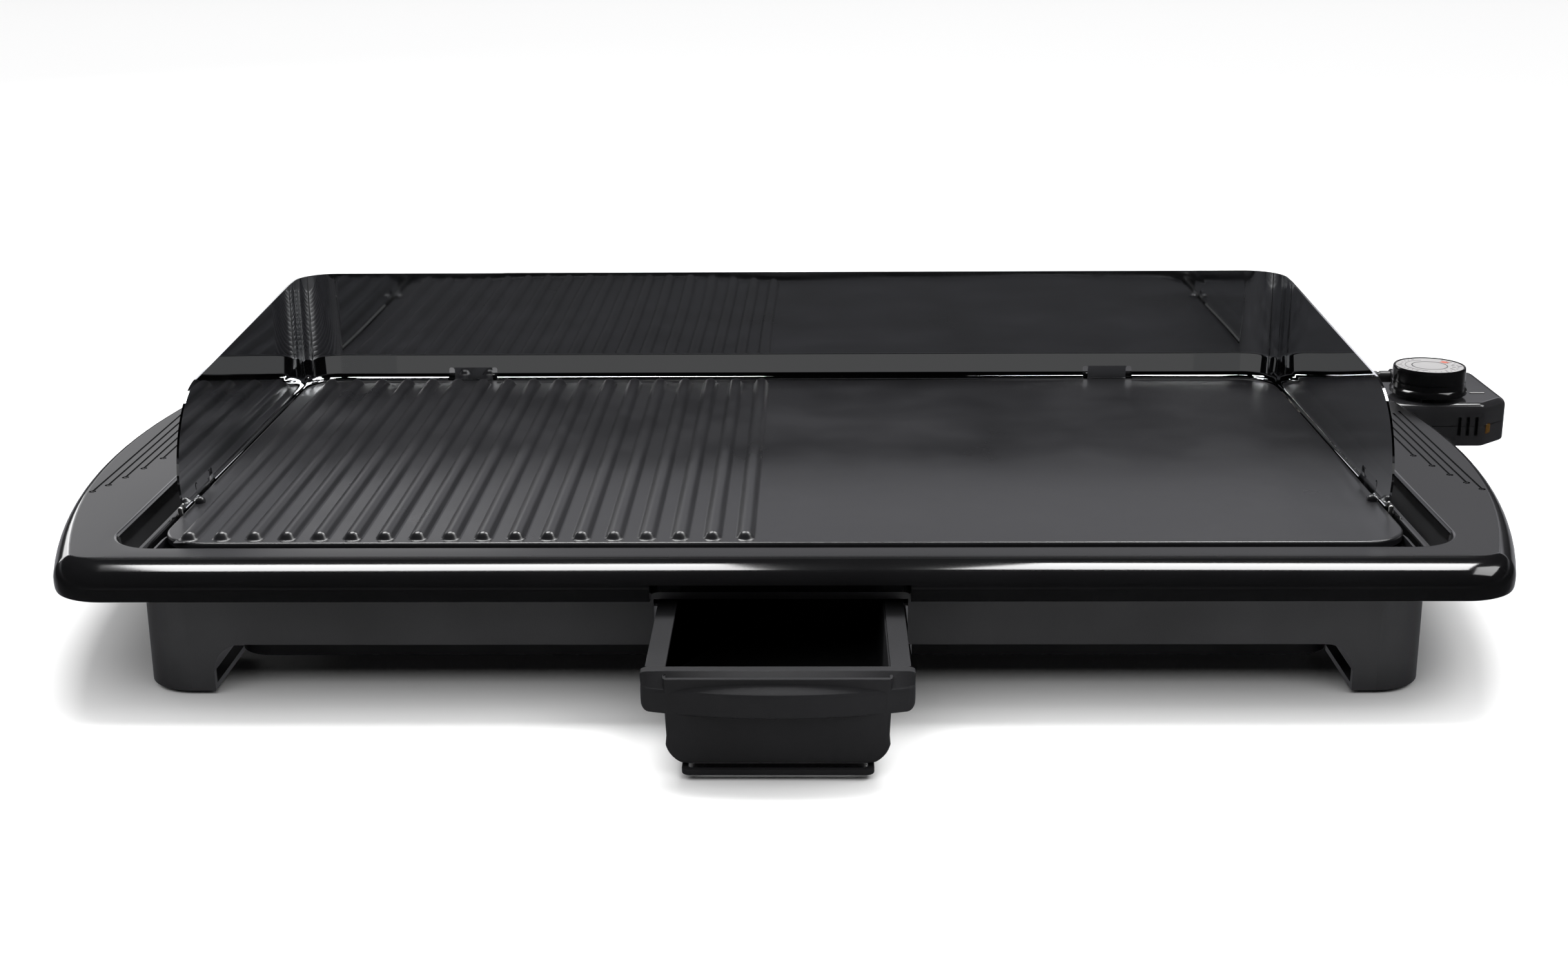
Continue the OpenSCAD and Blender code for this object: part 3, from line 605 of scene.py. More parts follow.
def make_plug():
    """Moulded two-pin plug: waisted grip with ridges, tapering to the cord."""
    low, high = size_of("plug_body")
    y, z = (low.y + high.y) / 2, (low.z + high.z) / 2
    half_y, half_z = (high.y - low.y) / 2, (high.z - low.z) / 2
    # distance from the pins' end, and shares of the full width and height there
    shape = [(0, 0.9, 0.86), (1.2, 0.99, 0.97), (8, 1, 1), (12, 0.94, 0.94), (16, 0.86, 0.88),
             (22, 0.8, 0.84), (26, 0.78, 0.8), (29, 0.66, 0.68), (32, 0.48, 0.5), (35, 0.33, 0.4),
             (38, 0.25, 0.36)]
    rings = []
    for x, wy, wz in shape:
        outline = rounded_rect(-half_y * wy, -half_z * wz, half_y * wy, half_z * wz,
                               min(half_y * wy, half_z * wz) * 0.55, 6)
        rings.append([(low.x + x, y + u, z + v) for u, v in outline])
    parts = [loft(rings)]
    for k in range(5):
        x = low.x + 14 + 2.6 * k
        for s in (-1, 1):
            parts.append(prism_y(rounded_rect(x - 0.6, z - 5, x + 0.6, z + 5, 0.55, 4),
                                 y + s * half_y * 0.6, y + s * half_y * (0.93 - 0.02 * k)))
    body = soften(raw("plug", merge(*parts)), 0.25)
    return finish_piece(body, "plug_moulding", "control", "plug",
                        ("plug_body",))


PIN_THICK = 1.5


def make_pin(low, high, y):
    """A flat pin with a narrowed tip and a hole near it."""
    outline = [(high.x, low.z), (high.x, high.z), (low.x + 1.6, high.z),
               (low.x, high.z - 1.8), (low.x, low.z + 1.8), (low.x + 1.6, low.z)]
    pin = raw("pin", prism_y(outline, y, y + PIN_THICK))
    combine(pin, [prism_y(circle(low.x + 4.2, (low.z + high.z) / 2, 1.5), y - 1, y + 3)])
    return settle(soften(pin, 0.2))


def make_pins():
    low, high = size_of("plug_blades")
    both = joined(make_pin(low, high, low.y), make_pin(low, high, high.y - PIN_THICK))
    return finish_piece(both, "plug_pins", "control", "brass", ("plug_blades",))


def make_tie():
    """A soft band round the coil."""
    low, high = size_of("cord_tie")
    section = rounded_rect(low.x + 0.1, low.z + 0.1, high.x - 0.1, high.z - 0.1, 2.2, 8)
    inner = rounded_rect(low.x + 0.8, low.z + 0.3, high.x - 0.8, high.z - 0.8, 1.8, 8)
    loop = ring_part(section, inner, low.y + 0.6, high.y - 0.6)
    piece = soften(raw("tie", turned(loop, (0, 2, 1))), 0.15)
    return finish_piece(piece, "coil_band", "control", "plug", ("cord_tie",))


cord, cord_path = make_cord()
make_relief()
plug = make_plug()
pins = make_pins()
band = make_tie()


# ---------- frame moulding
FRAME = {"half_w": 329, "half_d": 188, "top": 60, "bottom": 45}
SIDE_R, CORNER_R = 545, 25
ROLL_FRONT, ROLL_SIDE = 18, 6
# Section of the rolled edge: distance in from the rim (as a share of the roll) and height
ROLL = [(1 - cosd(a), 50 + 10 * sind(a))
        for a in range(87, -1, -6)] + [(0.0, 48.5), (0.02, 46.6), (0.06, 45.5), (0.12, 45)]
RECESS = {"side": 282.5, "front": -159.5, "back": 148.5, "r": 20, "lip": 1.8}
STRIP_IN, STRIP_OUT, STRIP_TOP, SLOT_BACK = 269.5, 273, 56.4, 130
GROOVE_X, GROOVE_PITCH, GROOVE_COUNT = 315, 3.9, 5
GROOVE_HALF, GROOVE_DEPTH, DIMPLE_R = 0.55, 0.8, 1.6
PLATE_TOP = 57


def frame_outline():
    """Outer outline with outward normals: straight front and back, bowed sides."""
    side_cx = SIDE_R - FRAME["half_w"]
    cy = FRAME["half_d"] - CORNER_R
    cx = math.sqrt((SIDE_R - CORNER_R) ** 2 - cy ** 2) - side_cx
    swing = math.degrees(math.asin(cy / (SIDE_R - CORNER_R)))
    quarter = [(cx * k / 6, -FRAME["half_d"], 0, -1) for k in range(6)]
    for a in [-90 + (90 - swing) * k / 12 for k in range(13)]:
        c, s = cosd(a), sind(a)
        quarter.append((cx + CORNER_R * c, -cy + CORNER_R * s, c, s))
    for a in [-swing + swing * k / 12 for k in range(1, 13)]:
        c, s = cosd(a), sind(a)
        quarter.append((SIDE_R * c - side_cx, SIDE_R * s, c, s))
    right = quarter + [(x, -y, nx, -ny) for x, y, nx, ny in reversed(quarter[:-1])]
    left = [(-x, y, -nx, ny) for x, y, nx, ny in reversed(right)]
    return right + left[1:-1]


def recess_outline(grow=0.0):
    """The recess with as many points, in the same order, as frame_outline."""
    side, r = RECESS["side"] + grow, RECESS["r"] + grow
    front, back = RECESS["front"] - grow, RECESS["back"] + grow
    right = [((side - r) * k / 6, front) for k in range(6)]
    right += arc(side - r, front + r, r, -90, 0, 12)
    y0, y1 = front + r, back - r
    right += [(side, y0 + (y1 - y0) * k / 24) for k in range(1, 24)]
    right += arc(side - r, back - r, r, 0, 90, 12)
    right += [((side - r) * k / 6, back) for k in range(5, -1, -1)]
    left = [(-x, y) for x, y in reversed(right)]
    return right + left[1:-1]


def pulled_in(outline, share):
    """The outer outline moved in by a share of the roll, which is wider at front and back."""
    out = []
    for x, y, nx, ny in outline:
        w = share * math.hypot(ROLL_SIDE * nx, ROLL_FRONT * ny)
        out.append((x - nx * w, y - ny * w))
    return out


def halfway(a, b):
    return [((p[0] + q[0]) / 2, (p[1] + q[1]) / 2) for p, q in zip(a, b)]


def frame_grooves():
    """Finger grooves on each handle, shorter inwards, each ending in a small round ring."""
    cuts = []
    top = FRAME["top"]
    above, ring_floor = top + 2, top - GROOVE_DEPTH - 0.1
    for s in (-1, 1):
        for i in range(GROOVE_COUNT):
            x = s * (GROOVE_X - GROOVE_PITCH * i)
            y0, y1 = -79 + 9 * i + 1.2 * i * i, 60 - 4 * i
            cuts.append(box(x - GROOVE_HALF, y0, top - GROOVE_DEPTH, x + GROOVE_HALF, y1, above))
            cuts.append(ring_part(circle(x, y0, DIMPLE_R), circle(x, y0, DIMPLE_R - 0.9),
                                  ring_floor, above))
    return cuts


def frame_strips():
    """The strips beside the plate that the guard's wings stand against, and their back ends."""
    strips = []
    low, high = FRAME["bottom"] + 0.2, STRIP_TOP
    for s in (-1, 1):
        x0, x1 = sorted((s * STRIP_IN, s * STRIP_OUT))
        section = [(x0, low), (x1, low), (x1, high - 1.2), (x1 - 0.35, high - 0.5),
                   (x1 - 1, high), (x0 + 1, high), (x0 + 0.35, high - 0.5), (x0, high - 1.2)]
        strips.append(prism_y(section, -158.4, 149))
        x0, x1 = sorted((s * (STRIP_OUT - 1), s * (RECESS["side"] + 1)))
        strips.append(box(x0, SLOT_BACK, low, x1, 149.5, high))
    return strips


def make_frame():
    outer = frame_outline()
    hole = recess_outline()
    top, bottom, lip = FRAME["top"], FRAME["bottom"], RECESS["lip"]
    rings = [level(hole, bottom), level(hole, top - lip)]
    for a in (30, 60, 90):
        rings.append(level(recess_outline(lip * (1 - cosd(a))), top - lip + lip * sind(a)))
    rings.append(level(halfway(recess_outline(lip), pulled_in(outer, 1.0)), top))
    rings += [level(pulled_in(outer, share), z) for share, z in ROLL]
    rings.append(level(halfway(pulled_in(outer, ROLL[-1][0]), hole), bottom))
    body = raw("frame", tube_loop(rings))
    drawer_mouth = rounded_rect(-53, -230, 53, -174, 3, 4)
    control_notch = rounded_rect(RECESS["side"] - 4, 79, 380, 137, 4, 5)
    combine(body, [prism(drawer_mouth, bottom - 5, bottom + 7.6),
                   prism(control_notch, bottom - 5, top + 30)])
    combine(body, frame_grooves())
    combine(body, frame_strips(), "UNION")
    finish_piece(body, "frame_moulding", "base", "frame", ("top_frame",), 24)


# ---------- cooking plate
PLATE = {"half_w": 267, "half_d": 145.5, "r": 22, "under": 53, "edge": 1.4}
RIB_R, RIB_PITCH, RIB_FIRST, RIB_COUNT = 3.6, 14, -15.4, 18
RIB_SINK, RIB_FOOT, RIB_REACH = 0.3, 1.5, 5.6


def rib_height(d):
    """Height of a rib over the plate at distance d from its middle line."""
    reach = RIB_R + RIB_FOOT
    out = math.sqrt(reach ** 2 - (RIB_FOOT + RIB_SINK) ** 2)
    meet = out * RIB_R / reach
    if d < meet:
        return math.sqrt(RIB_R ** 2 - d ** 2) - RIB_SINK
    if d < out:
        return RIB_FOOT - math.sqrt(RIB_FOOT ** 2 - (out - d) ** 2)
    return 0.0


def rib_part(x):
    """A rib's skin on a grid of points, round at both ends, sunk into the plate around it."""
    y0 = -PLATE["half_d"] + 3.5 + RIB_R
    y1 = PLATE["half_d"] - 8 - RIB_R
    ends = [RIB_REACH * sind(a) for a in range(90, -1, -6)]
    ys = [y0 - e for e in ends] + [y0 + (y1 - y0) * k / 6 for k in range(1, 6)]
    ys += [y1 + e for e in reversed(ends)]
    xs = [RIB_REACH * sind(a) for a in range(-90, 91, 6)]
    points, faces = [], []
    for y in ys:
        beyond = max(y0 - y, y - y1, 0)
        for dx in xs:
            d = math.hypot(dx, beyond)
            z = PLATE_TOP - 0.02 + rib_height(d) if d < 5 else PLATE_TOP - RIB_SINK
            points.append((x + dx, y, z))
    count = len(xs)
    for j in range(len(ys) - 1):
        for k in range(count - 1):
            a = j * count + k
            faces.append((a, a + 1, a + 1 + count, a + count))
    return points, faces


def plate_slab():
    w, d, r, under = PLATE["half_w"], PLATE["half_d"], PLATE["r"], PLATE["under"]
    edge = PLATE["edge"]

    def outline(inset):
        return rounded_rect(-w + inset, -d + inset, w - inset, d - inset, r - inset, 10)

    shoulder = PLATE_TOP - edge
    rings = [level(outline(0.5), under), level(outline(0), under + 0.5),
             level(outline(0), shoulder)]
    for a in (22.5, 45, 67.5, 90):
        rings.append(level(outline(edge * (1 - cosd(a))), shoulder + edge * sind(a)))
    return loft(rings)


def make_channel():
    """The trough along the plate's front, with its drain hole."""
    low, high = size_of("griddle_plate")
    back = -PLATE["half_d"] + PLATE["r"]

    def at_level(inset, z):
        return level(rounded_rect(low.x + inset, low.y + inset, high.x - inset, back,
                                  11 - inset, 6), z)

    sections = ((0, 49.6), (0, 55), (0.5, 55.3), (1.3, 55.3), (1.5, 55), (1.5, 51.6), (2.5, 51))
    channel = raw("channel", loft([at_level(inset, z) for inset, z in sections]))
    return combine(channel, [prism(circle(0, -151.7, 4.5), 45, 56)])


def make_plate():
    channel = make_channel()
    piece = joined(raw("plate", plate_slab()), channel)
    ribs = raw("ribs", merge(*[rib_part(RIB_FIRST - RIB_PITCH * i) for i in range(RIB_COUNT)]))
    for polygon in ribs.data.polygons:
        if polygon.normal.z < 0:
            polygon.flip()
    piece = joined(piece, ribs)
    finish_piece(piece, "cooking_plate", "base", "plate", ("griddle_plate",), 40)


# ---------- splash guard
GUARD = {"half_w": 269.1, "back": 147.6, "r": 20, "t": 1.0, "top": 117, "bend": 71,
         "foot": 57.5, "front": -98.5, "nose": (-59, 67.4, 41)}
WING_LEAN, LEAN_FROM, LEAN_OVER = 0.42, 4, 10
TAB_X, TAB_Y, TAB_W = 176.5, -66, 21
TAB_SLIT, TAB_FOOT, TAB_HEAD = 1.5, PLATE_TOP - 7, PLATE_TOP + 7


def guard_path(inset):
    """The guard seen from above, from one wing's front end round the back to the other's."""
    x, y, r = GUARD["half_w"] - inset, GUARD["back"] - inset, GUARD["r"] - inset
    right = [(x, -112), (x, -60), (x, 0), (x, 60), (x, y - r)]
    right += arc(x - r, y - r, r, 0, 90, 16)[1:]
    right += [((x - r) * k / 4, y) for k in (3, 2, 1)]
    left = [(-px, py) for px, py in reversed(right)]
    return right + [(0, y)] + left


def guard_sheet():
    """The sheet bent round three sides; its lowest band leans in, less so on the wings."""
    foot, bend, top, t = GUARD["foot"], GUARD["bend"], GUARD["top"], GUARD["t"]
    above = [(0.25, bend - 1.2), (0.05, bend - 0.3), (0, bend + 0.8), (0, 90), (0, top + 5)]
    outer = [(5.6, foot), (4.4, foot + 0.15), (3.0, foot + 0.8), (2.1, foot + 1.9),
             (1.5, foot + 3.4)] + above
    inner = above[::-1] + [(1.5, foot + 3.8), (2.0, foot + 2.6), (2.8, foot + 1.6),
                           (4.0, foot + 0.9), (5.0, foot + 0.7)]
    paths = []
    for depth, profile in ((0, outer), (t, inner)):
        upright = guard_path(depth)
        last = len(upright) - 1
        for lean, z in profile:
            ring = []
            for k, (p, q) in enumerate(zip(upright, guard_path(depth + lean))):
                inwards = max(0, min(k, last - k) - LEAN_FROM) / LEAN_OVER
                share = min(1, WING_LEAN + (1 - WING_LEAN) * inwards)
                ring.append((p[0] + (q[0] - p[0]) * share, p[1] + (q[1] - p[1]) * share, z))
            paths.append(ring)
    return loft([list(ring) for ring in zip(*paths)])


def slit_at(middle):
    return rounded_rect(middle - TAB_SLIT, 40, middle + TAB_SLIT, TAB_HEAD, 1.2, 4)


def guard_slits():
    """Narrow round-topped cuts on both sides of each tab."""
    cuts = []
    reach = TAB_W / 2 + TAB_SLIT
    for s in (-1, 1):
        x0, x1 = sorted((s * 255, s * 280))
        for n in (-1, 1):
            cuts.append(prism_y(slit_at(s * TAB_X + n * reach), 120, 160))
            cuts.append(prism_x(slit_at(TAB_Y + n * reach), x0, x1))
    return cuts


def upright_tabs(body, s):
    """Cuts away the band between two slits and puts an upright tab in its place."""
    t, half = GUARD["t"], TAB_W / 2
    x = s * TAB_X
    combine(body, [box(x - half, 130, 40, x + half, 160, TAB_HEAD)])
    combine(body, [box(x - half - 0.01, GUARD["back"] - t, TAB_FOOT,
                       x + half + 0.01, GUARD["back"], TAB_HEAD + 0.5)], "UNION")
    x0, x1 = sorted((s * 255, s * 280))
    combine(body, [box(x0, TAB_Y - half, 40, x1, TAB_Y + half, TAB_HEAD)])
    x0, x1 = sorted((s * GUARD["half_w"], s * (GUARD["half_w"] - t)))
    combine(body, [box(x0, TAB_Y - half - 0.01, TAB_FOOT,
                       x1, TAB_Y + half + 0.01, TAB_HEAD + 0.5)], "UNION")


def make_guard():
    body = raw("guard", guard_sheet())
    top, low, nose_y = GUARD["top"], GUARD["foot"] - 3, 115.5
    side = [(GUARD["front"], low), (170, low), (170, top), (nose_y, top)]
    side += arc(*GUARD["nose"], 90, 193, 30)
    combine(body, [prism_x(side, -400, 400)], "INTERSECT")
    combine(body, guard_slits())
    for s in (-1, 1):
        upright_tabs(body, s)
    settle(tidy_faces(body))
    soften(body, 0.28, 2, 50)
    finish_piece(body, "splash_guard_sheet", "splash_guard", "mirror",
                 ("splash_guard",), 30)


def domed(r, foot, shoulder, rise):
    """Profile of a round post with a domed top."""
    return [(0, foot), (r, foot), (r, shoulder)] + [(r * cosd(a), shoulder + rise * sind(a))
                                                    for a in range(15, 91, 15)]


def make_studs():
    """Domed bosses on the plate and small round-topped pins in front of the wings."""
    boss = domed(2.5, PLATE_TOP, PLATE_TOP + 0.9, 2)
    pin = domed(1.1, 49.6, 58.4, 1.1)
    pins = [lathe(pin, x, -101.5, 24) for x in (-268.25, 268.25)]
    bosses = [lathe(boss, x, -86, 32) for x in (-264, 264)]
    finish_piece(raw("pins", merge(*pins)), "guard_stop_pins", "base", "steel",
                 ("guard_studs",))
    finish_piece(raw("bosses", merge(*bosses)), "guard_bosses", "base", "plate")


# ---------- drip drawer
TUB = {"half_w": 43.5, "low_half": 36, "floor": 5, "r": 10, "top": 40, "wall": 1.3,
       "rim_top": 41.2}
HANDLE = {"bow_r": 170, "half_w": 52, "corner": 3.2, "fold": 35.4, "under": 25.4}


def tub_outline(inset):
    """Cross-section of the tub (x, z), with round lower corners."""
    rim, low, r = TUB["half_w"] - inset, TUB["low_half"] - inset, TUB["r"] - inset
    floor = TUB["floor"] + inset
    top = TUB["rim_top"] if inset else TUB["top"]
    left = [(-rim, top), (-rim + 1.2, 16 + inset)] + arc(-low + 3, floor + r, r, 195, 270, 8)
    return left + [(-x, z) for x, z in reversed(left)]


def make_tub(face, back):
    floor, full = TUB["floor"], tub_outline(0)
    rings = []
    for dy, shrink in ((0, 2.2), (0.5, 1.0), (1.6, 0.3), (3.4, 0)):
        rings.append([(x * (1 - shrink / 44), face + dy, max(z, floor + shrink))
                      for x, z in full])
    rings += [[(x, back - 2, z) for x, z in full],
              [(x * 0.98, back, max(z, floor + 1)) for x, z in full]]
    hollow = [[(x, y, z + (4 if z > 39 else 0)) for x, z in tub_outline(TUB["wall"])]
              for y in (face + 2.4, back - 2.2)]
    return combine(raw("tub", loft(rings)), [loft(hollow)])


def make_rim(front, back):
    rim = rounded_rect(-50.5, front + 15.2, 50.5, back, 1.2, 4)
    opening = rounded_rect(-42.6, front + 5, 42.6, back - 2.2, 3, 6)
    piece = raw("rim", prism(rim, 39.6, TUB["rim_top"]))
    combine(piece, [prism(opening, 35, 45)])
    return settle(soften(piece, 0.3))


def foot_ring(front, back):
    outer = rounded_rect(-36.5, front + 2.6, 36.5, back - 4, 3, 5)
    inner = rounded_rect(-34, front + 5, 34, back - 6, 2, 5)
    return ring_part(outer, inner, 2, 4.4)


def make_drawer():
    low, high = size_of("drip_drawer")
    front, back = low.y, high.y
    body = make_tub(front + 5, back)
    rim = make_rim(front, back)
    settle(soften(body, 0.5, 2, 40))
    body = joined(body, rim)
    body = joined(body, settle(soften(raw("foot", foot_ring(front, back)), 0.4)))
    body = joined(body, make_handle(front))
    finish_piece(body, "drawer_tub", "drawer", "drawer",
                 ("drip_drawer",), 30)


def make_handle(front):
    """The lip across the drawer's front: straight ledge, slope down to a bowed face."""
    bow_r, half, corner = HANDLE["bow_r"], HANDLE["half_w"], HANDLE["corner"]
    ends = [corner * (1 - cosd(a)) for a in range(0, 91, 18)]
    stations = [-half + e for e in ends] + [half * k / 9 for k in range(-8, 9)]
    stations += [half - e for e in reversed(ends)]
    rings = []
    for x in stations:
        near = min(half - abs(x), corner)
        pinch = corner - math.sqrt(max(0, corner ** 2 - (corner - near) ** 2))
        y = front + bow_r - math.sqrt(bow_r ** 2 - x ** 2) + pinch
        top = TUB["rim_top"] - pinch * 0.35
        fold = HANDLE["fold"] - pinch * 0.3
        under = HANDLE["under"] + pinch * 0.9
        section = [(front + 15.5, under), (front + 15.5, top - 0.3), (front + 15.2, top),
                   (front + 11.3, top), (front + 10.8, top - 0.15), (y + 1.3, fold + 0.5),
                   (y + 0.5, fold), (y + 0.1, fold - 0.8), (y, fold - 1.8),
                   (y + 0.2, under + 1.8), (y + 0.7, under + 0.6), (y + 1.8, under)]
        rings.append([(x, py, pz) for py, pz in section])
    return settle(soften(raw("handle", loft(rings)), 0.25, 2, 40))


# ---------- thermostat control
PLAN = [(288, 83, 2), (303, 83, 3), (308, 81, 3), (366.3, 81, 6), (382, 95, 8), (382, 153, 7),
        (372, 164, 6), (338, 164, 4), (338, 134, 3), (308, 134, 4), (303, 131, 3), (288, 131, 2)]
SEAM, TOP, BOTTOM, GAP = 46, 58, 35, 0.15
VENTS = (353.6, 358, 362.5)
SOCKETS, SOCKET_Z = ((96, 3.7), (118, 3.7), (107, 3.55)), 47.5
SCREWS = ((376, 104), (375, 146), (352, 156), (314, 125))
LENS_AT, LENS_TURN = (369.4, 83.8, 44.2), -48.3
KNOB = (341.5, 101.5)


def housing_levels(z0, z1, lower, upper):
    """Outlines for a shell whose lower and upper edges are rounded by those radii."""
    rings = [level(rounded(PLAN, lower * (1 - cosd(a))), z0 + lower * (1 - sind(a)))
             for a in (90, 60, 30, 0)]
    return rings + [level(rounded(PLAN, upper * (1 - cosd(a))), z1 - upper * (1 - sind(a)))
                    for a in (0, 18, 36, 54, 72, 90)]


def lens_block(half_w, half_h, inner, outer):
    """A block set into the chamfered corner, facing out of it."""
    x, y, z = LENS_AT
    c, s = cosd(LENS_TURN), sind(LENS_TURN)
    outline = rounded_rect(-half_w, -half_h, half_w, half_h, 0.9, 4)
    return loft([[(x + depth * c - u * s, y + depth * s + u * c, z + v) for u, v in outline]
                 for depth in (inner, outer)])


def housing_cuts(vent_low, vent_high):
    """The front vents, the openings for the pins and the probe, and the lamp's window."""
    cuts = [prism(rounded_rect(x - 0.95, 70, x + 0.95, 84.5, 0.6, 4), vent_low, vent_high)
            for x in VENTS]
    cuts += [prism_x(circle(y, SOCKET_Z, r), 280, 296) for y, r in SOCKETS]
    return cuts + [lens_block(2.2, 2.8, -2.4, 8)]


def make_housing():
    upper = raw("upper", loft(housing_levels(SEAM + GAP, TOP, 0.2, 4.2)))
    combine(upper, housing_cuts(40, 51))
    finish_piece(upper, "control_top_shell", "control", "control",
                 ("control_upper_housing",), 28)
    lower = raw("lower", loft(housing_levels(BOTTOM, SEAM - GAP, 1.6, 0.2)))
    screws = [prism(circle(x, y, 2.8), BOTTOM - 2, BOTTOM + 1.6) for x, y in SCREWS]
    combine(lower, housing_cuts(41, 60) + screws)
    finish_piece(lower, "control_bottom_shell", "control", "control",
                 ("control_lower_housing",), 28)


def make_pointer_and_lamp():
    mark = prism(rounded_rect(365, 104.5, 373, 105.9, 0.6, 4), TOP - 0.3, TOP + 0.35)
    finish_piece(raw("pointer", mark), "dial_pointer", "control", "dial")
    lens = soften(raw("lens", lens_block(2.0, 2.6, -2.2, 0.4)), 0.35, 3)
    finish_piece(lens, "lamp_window", "control", "lamp", ("lamp_lens",))


# Profiles (radius, z) of the knob with its skirt and collar, and of the face in its top
KNOB_PROFILE = [(0, 60), (19.4, 60), (19.9, 60.4), (19.9, 62.5), (19.5, 63.1), (19.0, 63.6),
                (18.9, 66.3), (18.5, 66.5), (18.5, 67.0), (18.85, 67.2), (18.8, 72.7),
                (18.7, 73.7), (18.3, 74.4), (18.0, 74.5), (17.7, 74.4), (17.6, 74.1),
                (17.5, 73.6), (0, 73.6)]
FACE_PROFILE = [(0, 73.3), (17.4, 73.3), (17.4, 73.9), (17.1, 74.1), (13.6, 74.15),
                (9.4, 74.15), (9.1, 74.05), (8.8, 74.15), (0, 74.25)]
INK, INK_DEPTH = 74.22, 0.2
TICKS, TICK_STEP, TICK_R = 26, 12, 14.2
FIGURES, FIGURE_STEP, FIGURE_R = 5, 22, 11.6
HOT_ZONE = (10.6, 14.0, 26, 46)


def make_knob():
    body = raw("knob", lathe(KNOB_PROFILE, *KNOB, 96))
    finish_piece(body, "dial_body", "dial", "knob", ("dial_knob",), 32)
    disc = raw("face", lathe(FACE_PROFILE, *KNOB, 96))
    finish_piece(disc, "dial_plate", "dial", "dial", ("dial_face",), 60)


def make_dial_print():
    """A ring, an arc, ticks and figures, and a coloured hot end."""
    low = INK - INK_DEPTH
    ring = [arc(*KNOB, r, 0, 357, 119) for r in (9.35, 8.85)]
    line = arc(*KNOB, 12.76, 95, 250, 52) + arc(*KNOB, 12.44, 95, 250, 52)[::-1]
    marks = [ring_part(*ring, low, INK), prism(line, low, INK)]
    for k in range(TICKS):
        end = TICK_R + (2.2 if k % 5 == 0 else 1.0)
        tick = [(TICK_R, -0.16), (end, -0.16), (end, 0.16), (TICK_R, 0.16)]
        marks.append(on_dial(tick, -250 + TICK_STEP * k))
    for k in range(FIGURES):
        marks += numeral(-62 + FIGURE_STEP * k, FIGURE_R, k + 1)
    finish_piece(raw("marks", merge(*marks)), "dial_marks", "dial", "mark",
                 (), 60)
    inner, outer, a0, a1 = HOT_ZONE
    hot = arc(*KNOB, outer, a0, a1, 8) + arc(*KNOB, inner, a1, a0, 8)
    patch = raw("hot", prism(hot, low, INK - 0.01))
    finish_piece(patch, "dial_hot_zone", "dial", "red")


# Strokes of a seven-part numeral: (u0, v0, u1, v1), u along the rim, v outwards
STROKES = {"t": (0, 2, 1, 2), "m": (0, 1, 1, 1), "b": (0, 0, 1, 0), "p": (0, 1, 0, 2),
           "q": (1, 1, 1, 2), "r": (0, 0, 0, 1), "s": (1, 0, 1, 1)}
FIGURE_W, FIGURE_H, STROKE_HALF = 0.9, 0.8, 0.13
NUMERALS = {1: "qs", 2: "tqmrb", 3: "tqmsb", 4: "pqms", 5: "tpmsb"}


def on_dial(corners, a):
    """Prints a flat shape, drawn at angle 0, at angle a."""
    c, s = cosd(a), sind(a)
    return prism([(KNOB[0] + u * c - v * s, KNOB[1] + u * s + v * c) for u, v in corners],
                 INK - INK_DEPTH, INK)


def numeral(a, radius, figure):
    """One figure of the scale, read with its foot towards the shaft."""
    out = []
    for key in NUMERALS[figure]:
        u0, v0, u1, v1 = STROKES[key]
        start, end = [Vector((radius + v * FIGURE_H, (0.5 - u) * FIGURE_W))
                      for u, v in ((u0, v0), (u1, v1))]
        along = (end - start).normalized() * STROKE_HALF
        across = Vector((-along.y, along.x))
        out.append(on_dial([start - across - along, end - across + along,
                            end + across + along, start + across - along], a))
    return out


# ---------- CAD nodes that stay
CARRIED = {
    "shell": ("base_shell", "drawer_guides"),
    "pan": ("heat_pan", "drain_spout"),
    "rubber": ("foot_pads",),
    "sheath": ("heating_element",),
    "ceramic": ("element_insulators", "terminal_block", "blade_stack", "adjusting_cam"),
    "brass": ("sensor_rod", "contact_sleeves", "fixed_contact", "moving_contact"),
    "glass": ("lamp_bulb",),
    "resistor": ("lamp_resistor",),
    "steel": ("frame_screws", "plate_standoffs", "plate_screws", "element_clips",
              "element_terminals", "probe_sleeve", "terminal_shroud", "control_screws",
              "probe_tube", "thermostat_frame", "lever_pin", "dial_shaft", "knob_clip",
              "cam_lever")}
SOFTENED = {"base_shell": 1.2, "heat_pan": 0.8, "foot_pads": 0.3, "drawer_guides": 0.4}


def dress_cad_nodes():
    """Gives the CAD nodes their materials, and rounds the edges of the larger ones."""
    for key, names in CARRIED.items():
        for name in names:
            materials = nodes[name].data.materials
            materials.clear()
            materials.append(M[key])
    for name, width in SOFTENED.items():
        weld = nodes[name].modifiers.new("weld", "WELD")
        weld.merge_threshold = 0.001 * MM
        soften(tidy_faces(nodes[name]), width, 2, 40)


make_frame()
make_plate()
make_guard()
make_studs()
make_drawer()
make_housing()
make_pointer_and_lamp()
make_knob()
make_dial_print()
dress_cad_nodes()


# ---------- stage and light
def make_floor():
    mesh = bpy.data.meshes.new("floor")
    mesh.from_pydata([(-14, -8, 0), (14, -8, 0), (14, 18, 0), (-14, 18, 0)], [], [(0, 1, 2, 3)])
    floor = bpy.data.objects.new("floor", mesh)
    bpy.context.scene.collection.objects.link(floor)
    mesh.materials.append(material("pale_floor", (0.88, 0.88, 0.88), 0.8, specular=0.0))
    floor.location.z = -0.0002
    floor.visible_glossy = False


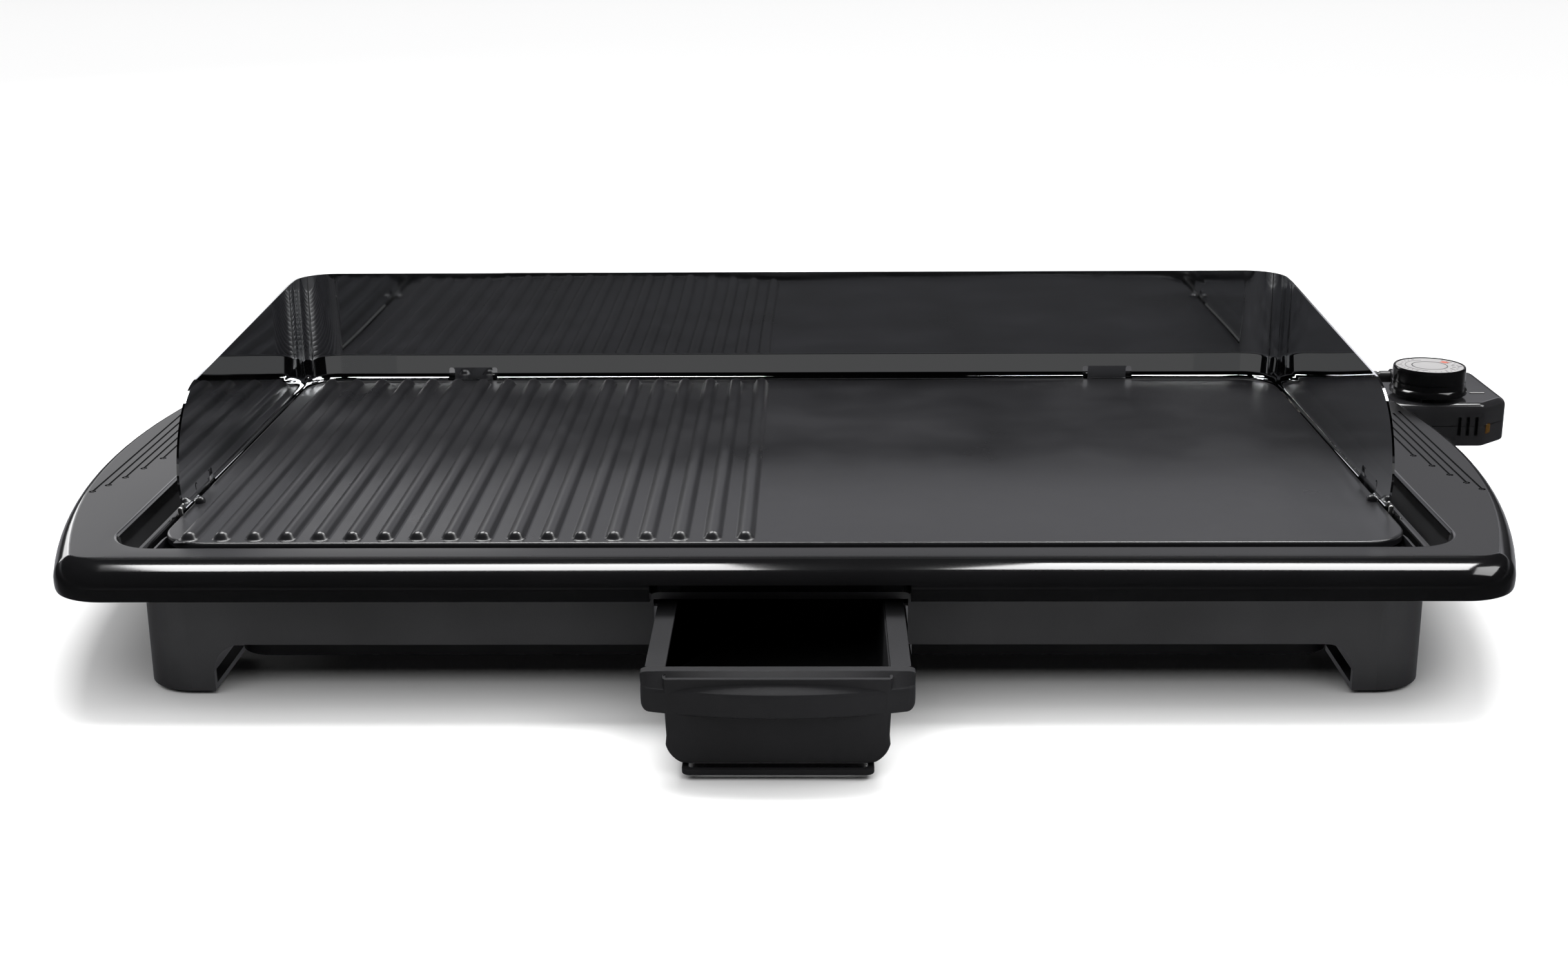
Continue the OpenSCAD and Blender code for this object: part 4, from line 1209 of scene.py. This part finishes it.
# Panel lamps, in metres from the middle: place, width, depth, radiance and the point faced
PANELS = {
    "left_box": ((-0.345, 0.33, 1.06), 0.58, 0.42, 16, (-0.3, -0.2, 0)),
    "right_box": ((0.43, 0.33, 1.06), 0.5, 0.42, 16, (0.3, -0.2, 0)),
    "left_back_box": ((-1.75, 1.75, 0.68), 1.0, 0.6, 3, (0, 0, 0)),
    "front_wall": ((-0.5, -3.2, 0.5), 9.0, 0.8, 0.08, (0, 0, 0)),
    "side_wall": ((-0.84, 1.7, 0.54), 0.9, 0.3, 0.8, (-0.3, 0, 0.06)),
    "edge_box": ((0.9, 0.0, 0.95), 0.5, 0.45, 6, (0.34, 0.08, 0.06)),
    "ceiling": ((0, 2, 4.5), 16, 16, 1.38, (0, 2, 0))}


def soft_box(name, place, width, depth, radiance, aim):
    light = bpy.data.lights.new(name, "AREA")
    light.shape = "RECTANGLE"
    light.size, light.size_y = width, depth
    light.energy = radiance * math.pi * width * depth
    obj = bpy.data.objects.new(name, light)
    obj.location = MIDDLE + Vector(place)
    obj.rotation_mode = "QUATERNION"
    obj.rotation_quaternion = (MIDDLE + Vector(aim) - obj.location).to_track_quat("-Z", "Y")
    bpy.context.scene.collection.objects.link(obj)
    return obj


# The studio in reflections: (the direction's Y or Z, shade)
BEHIND = ((-0.2, 0.04), (0.35, 0.1), (0.9, 1.0))
HEIGHT = ((-0.3, 0.45), (-0.1, 0.3), (-0.02, 0.02), (0.22, 0.1), (0.29, 0.85), (0.345, 0.95),
          (0.385, 0.02))


def make_world():
    """Pale to the eye; in reflections a dark studio with a pale wall behind the griddle."""
    world = bpy.data.worlds.new("studio")
    bpy.context.scene.world = world
    world.use_nodes = True
    tree = world.node_tree
    tree.nodes.clear()
    new, link = tree.nodes.new, tree.links.new
    out = new("ShaderNodeOutputWorld")
    mix = new("ShaderNodeMixShader")
    path = new("ShaderNodeLightPath")
    seen = new("ShaderNodeBackground")
    seen.inputs["Color"].default_value = (0.96, 0.96, 0.96, 1)
    studio = new("ShaderNodeBackground")
    split = new("ShaderNodeSeparateXYZ")
    link(new("ShaderNodeTexCoord").outputs["Generated"], split.inputs[0])

    def ramp(direction, places):
        half = new("ShaderNodeMath")
        half.operation = "MULTIPLY_ADD"
        half.inputs[1].default_value = half.inputs[2].default_value = 0.5
        link(split.outputs[direction], half.inputs[0])
        node = new("ShaderNodeValToRGB")
        for _ in places[2:]:
            node.color_ramp.elements.new(0.5)
        for element, (place, shade) in zip(node.color_ramp.elements, places):
            element.position = 0.5 + 0.5 * place
            element.color = (*bluish(shade, 1.03), 1)
        link(half.outputs[0], node.inputs[0])
        return node

    behind, height = ramp("Y", BEHIND), ramp("Z", HEIGHT)
    both = new("ShaderNodeMix")
    both.data_type = "RGBA"
    both.blend_type = "MULTIPLY"
    both.inputs[0].default_value = 1.0
    link(behind.outputs[0], both.inputs[6])
    link(height.outputs[0], both.inputs[7])
    link(both.outputs[2], studio.inputs["Color"])
    link(path.outputs["Is Camera Ray"], mix.inputs[0])
    link(studio.outputs[0], mix.inputs[1])
    link(seen.outputs[0], mix.inputs[2])
    link(mix.outputs[0], out.inputs["Surface"])


def make_stage():
    make_floor()
    make_world()
    for name, panel in PANELS.items():
        lamp = soft_box(name, *panel)
        lamp.visible_glossy = name != "ceiling"
    bpy.context.scene.view_settings.view_transform = "Standard"


make_stage()
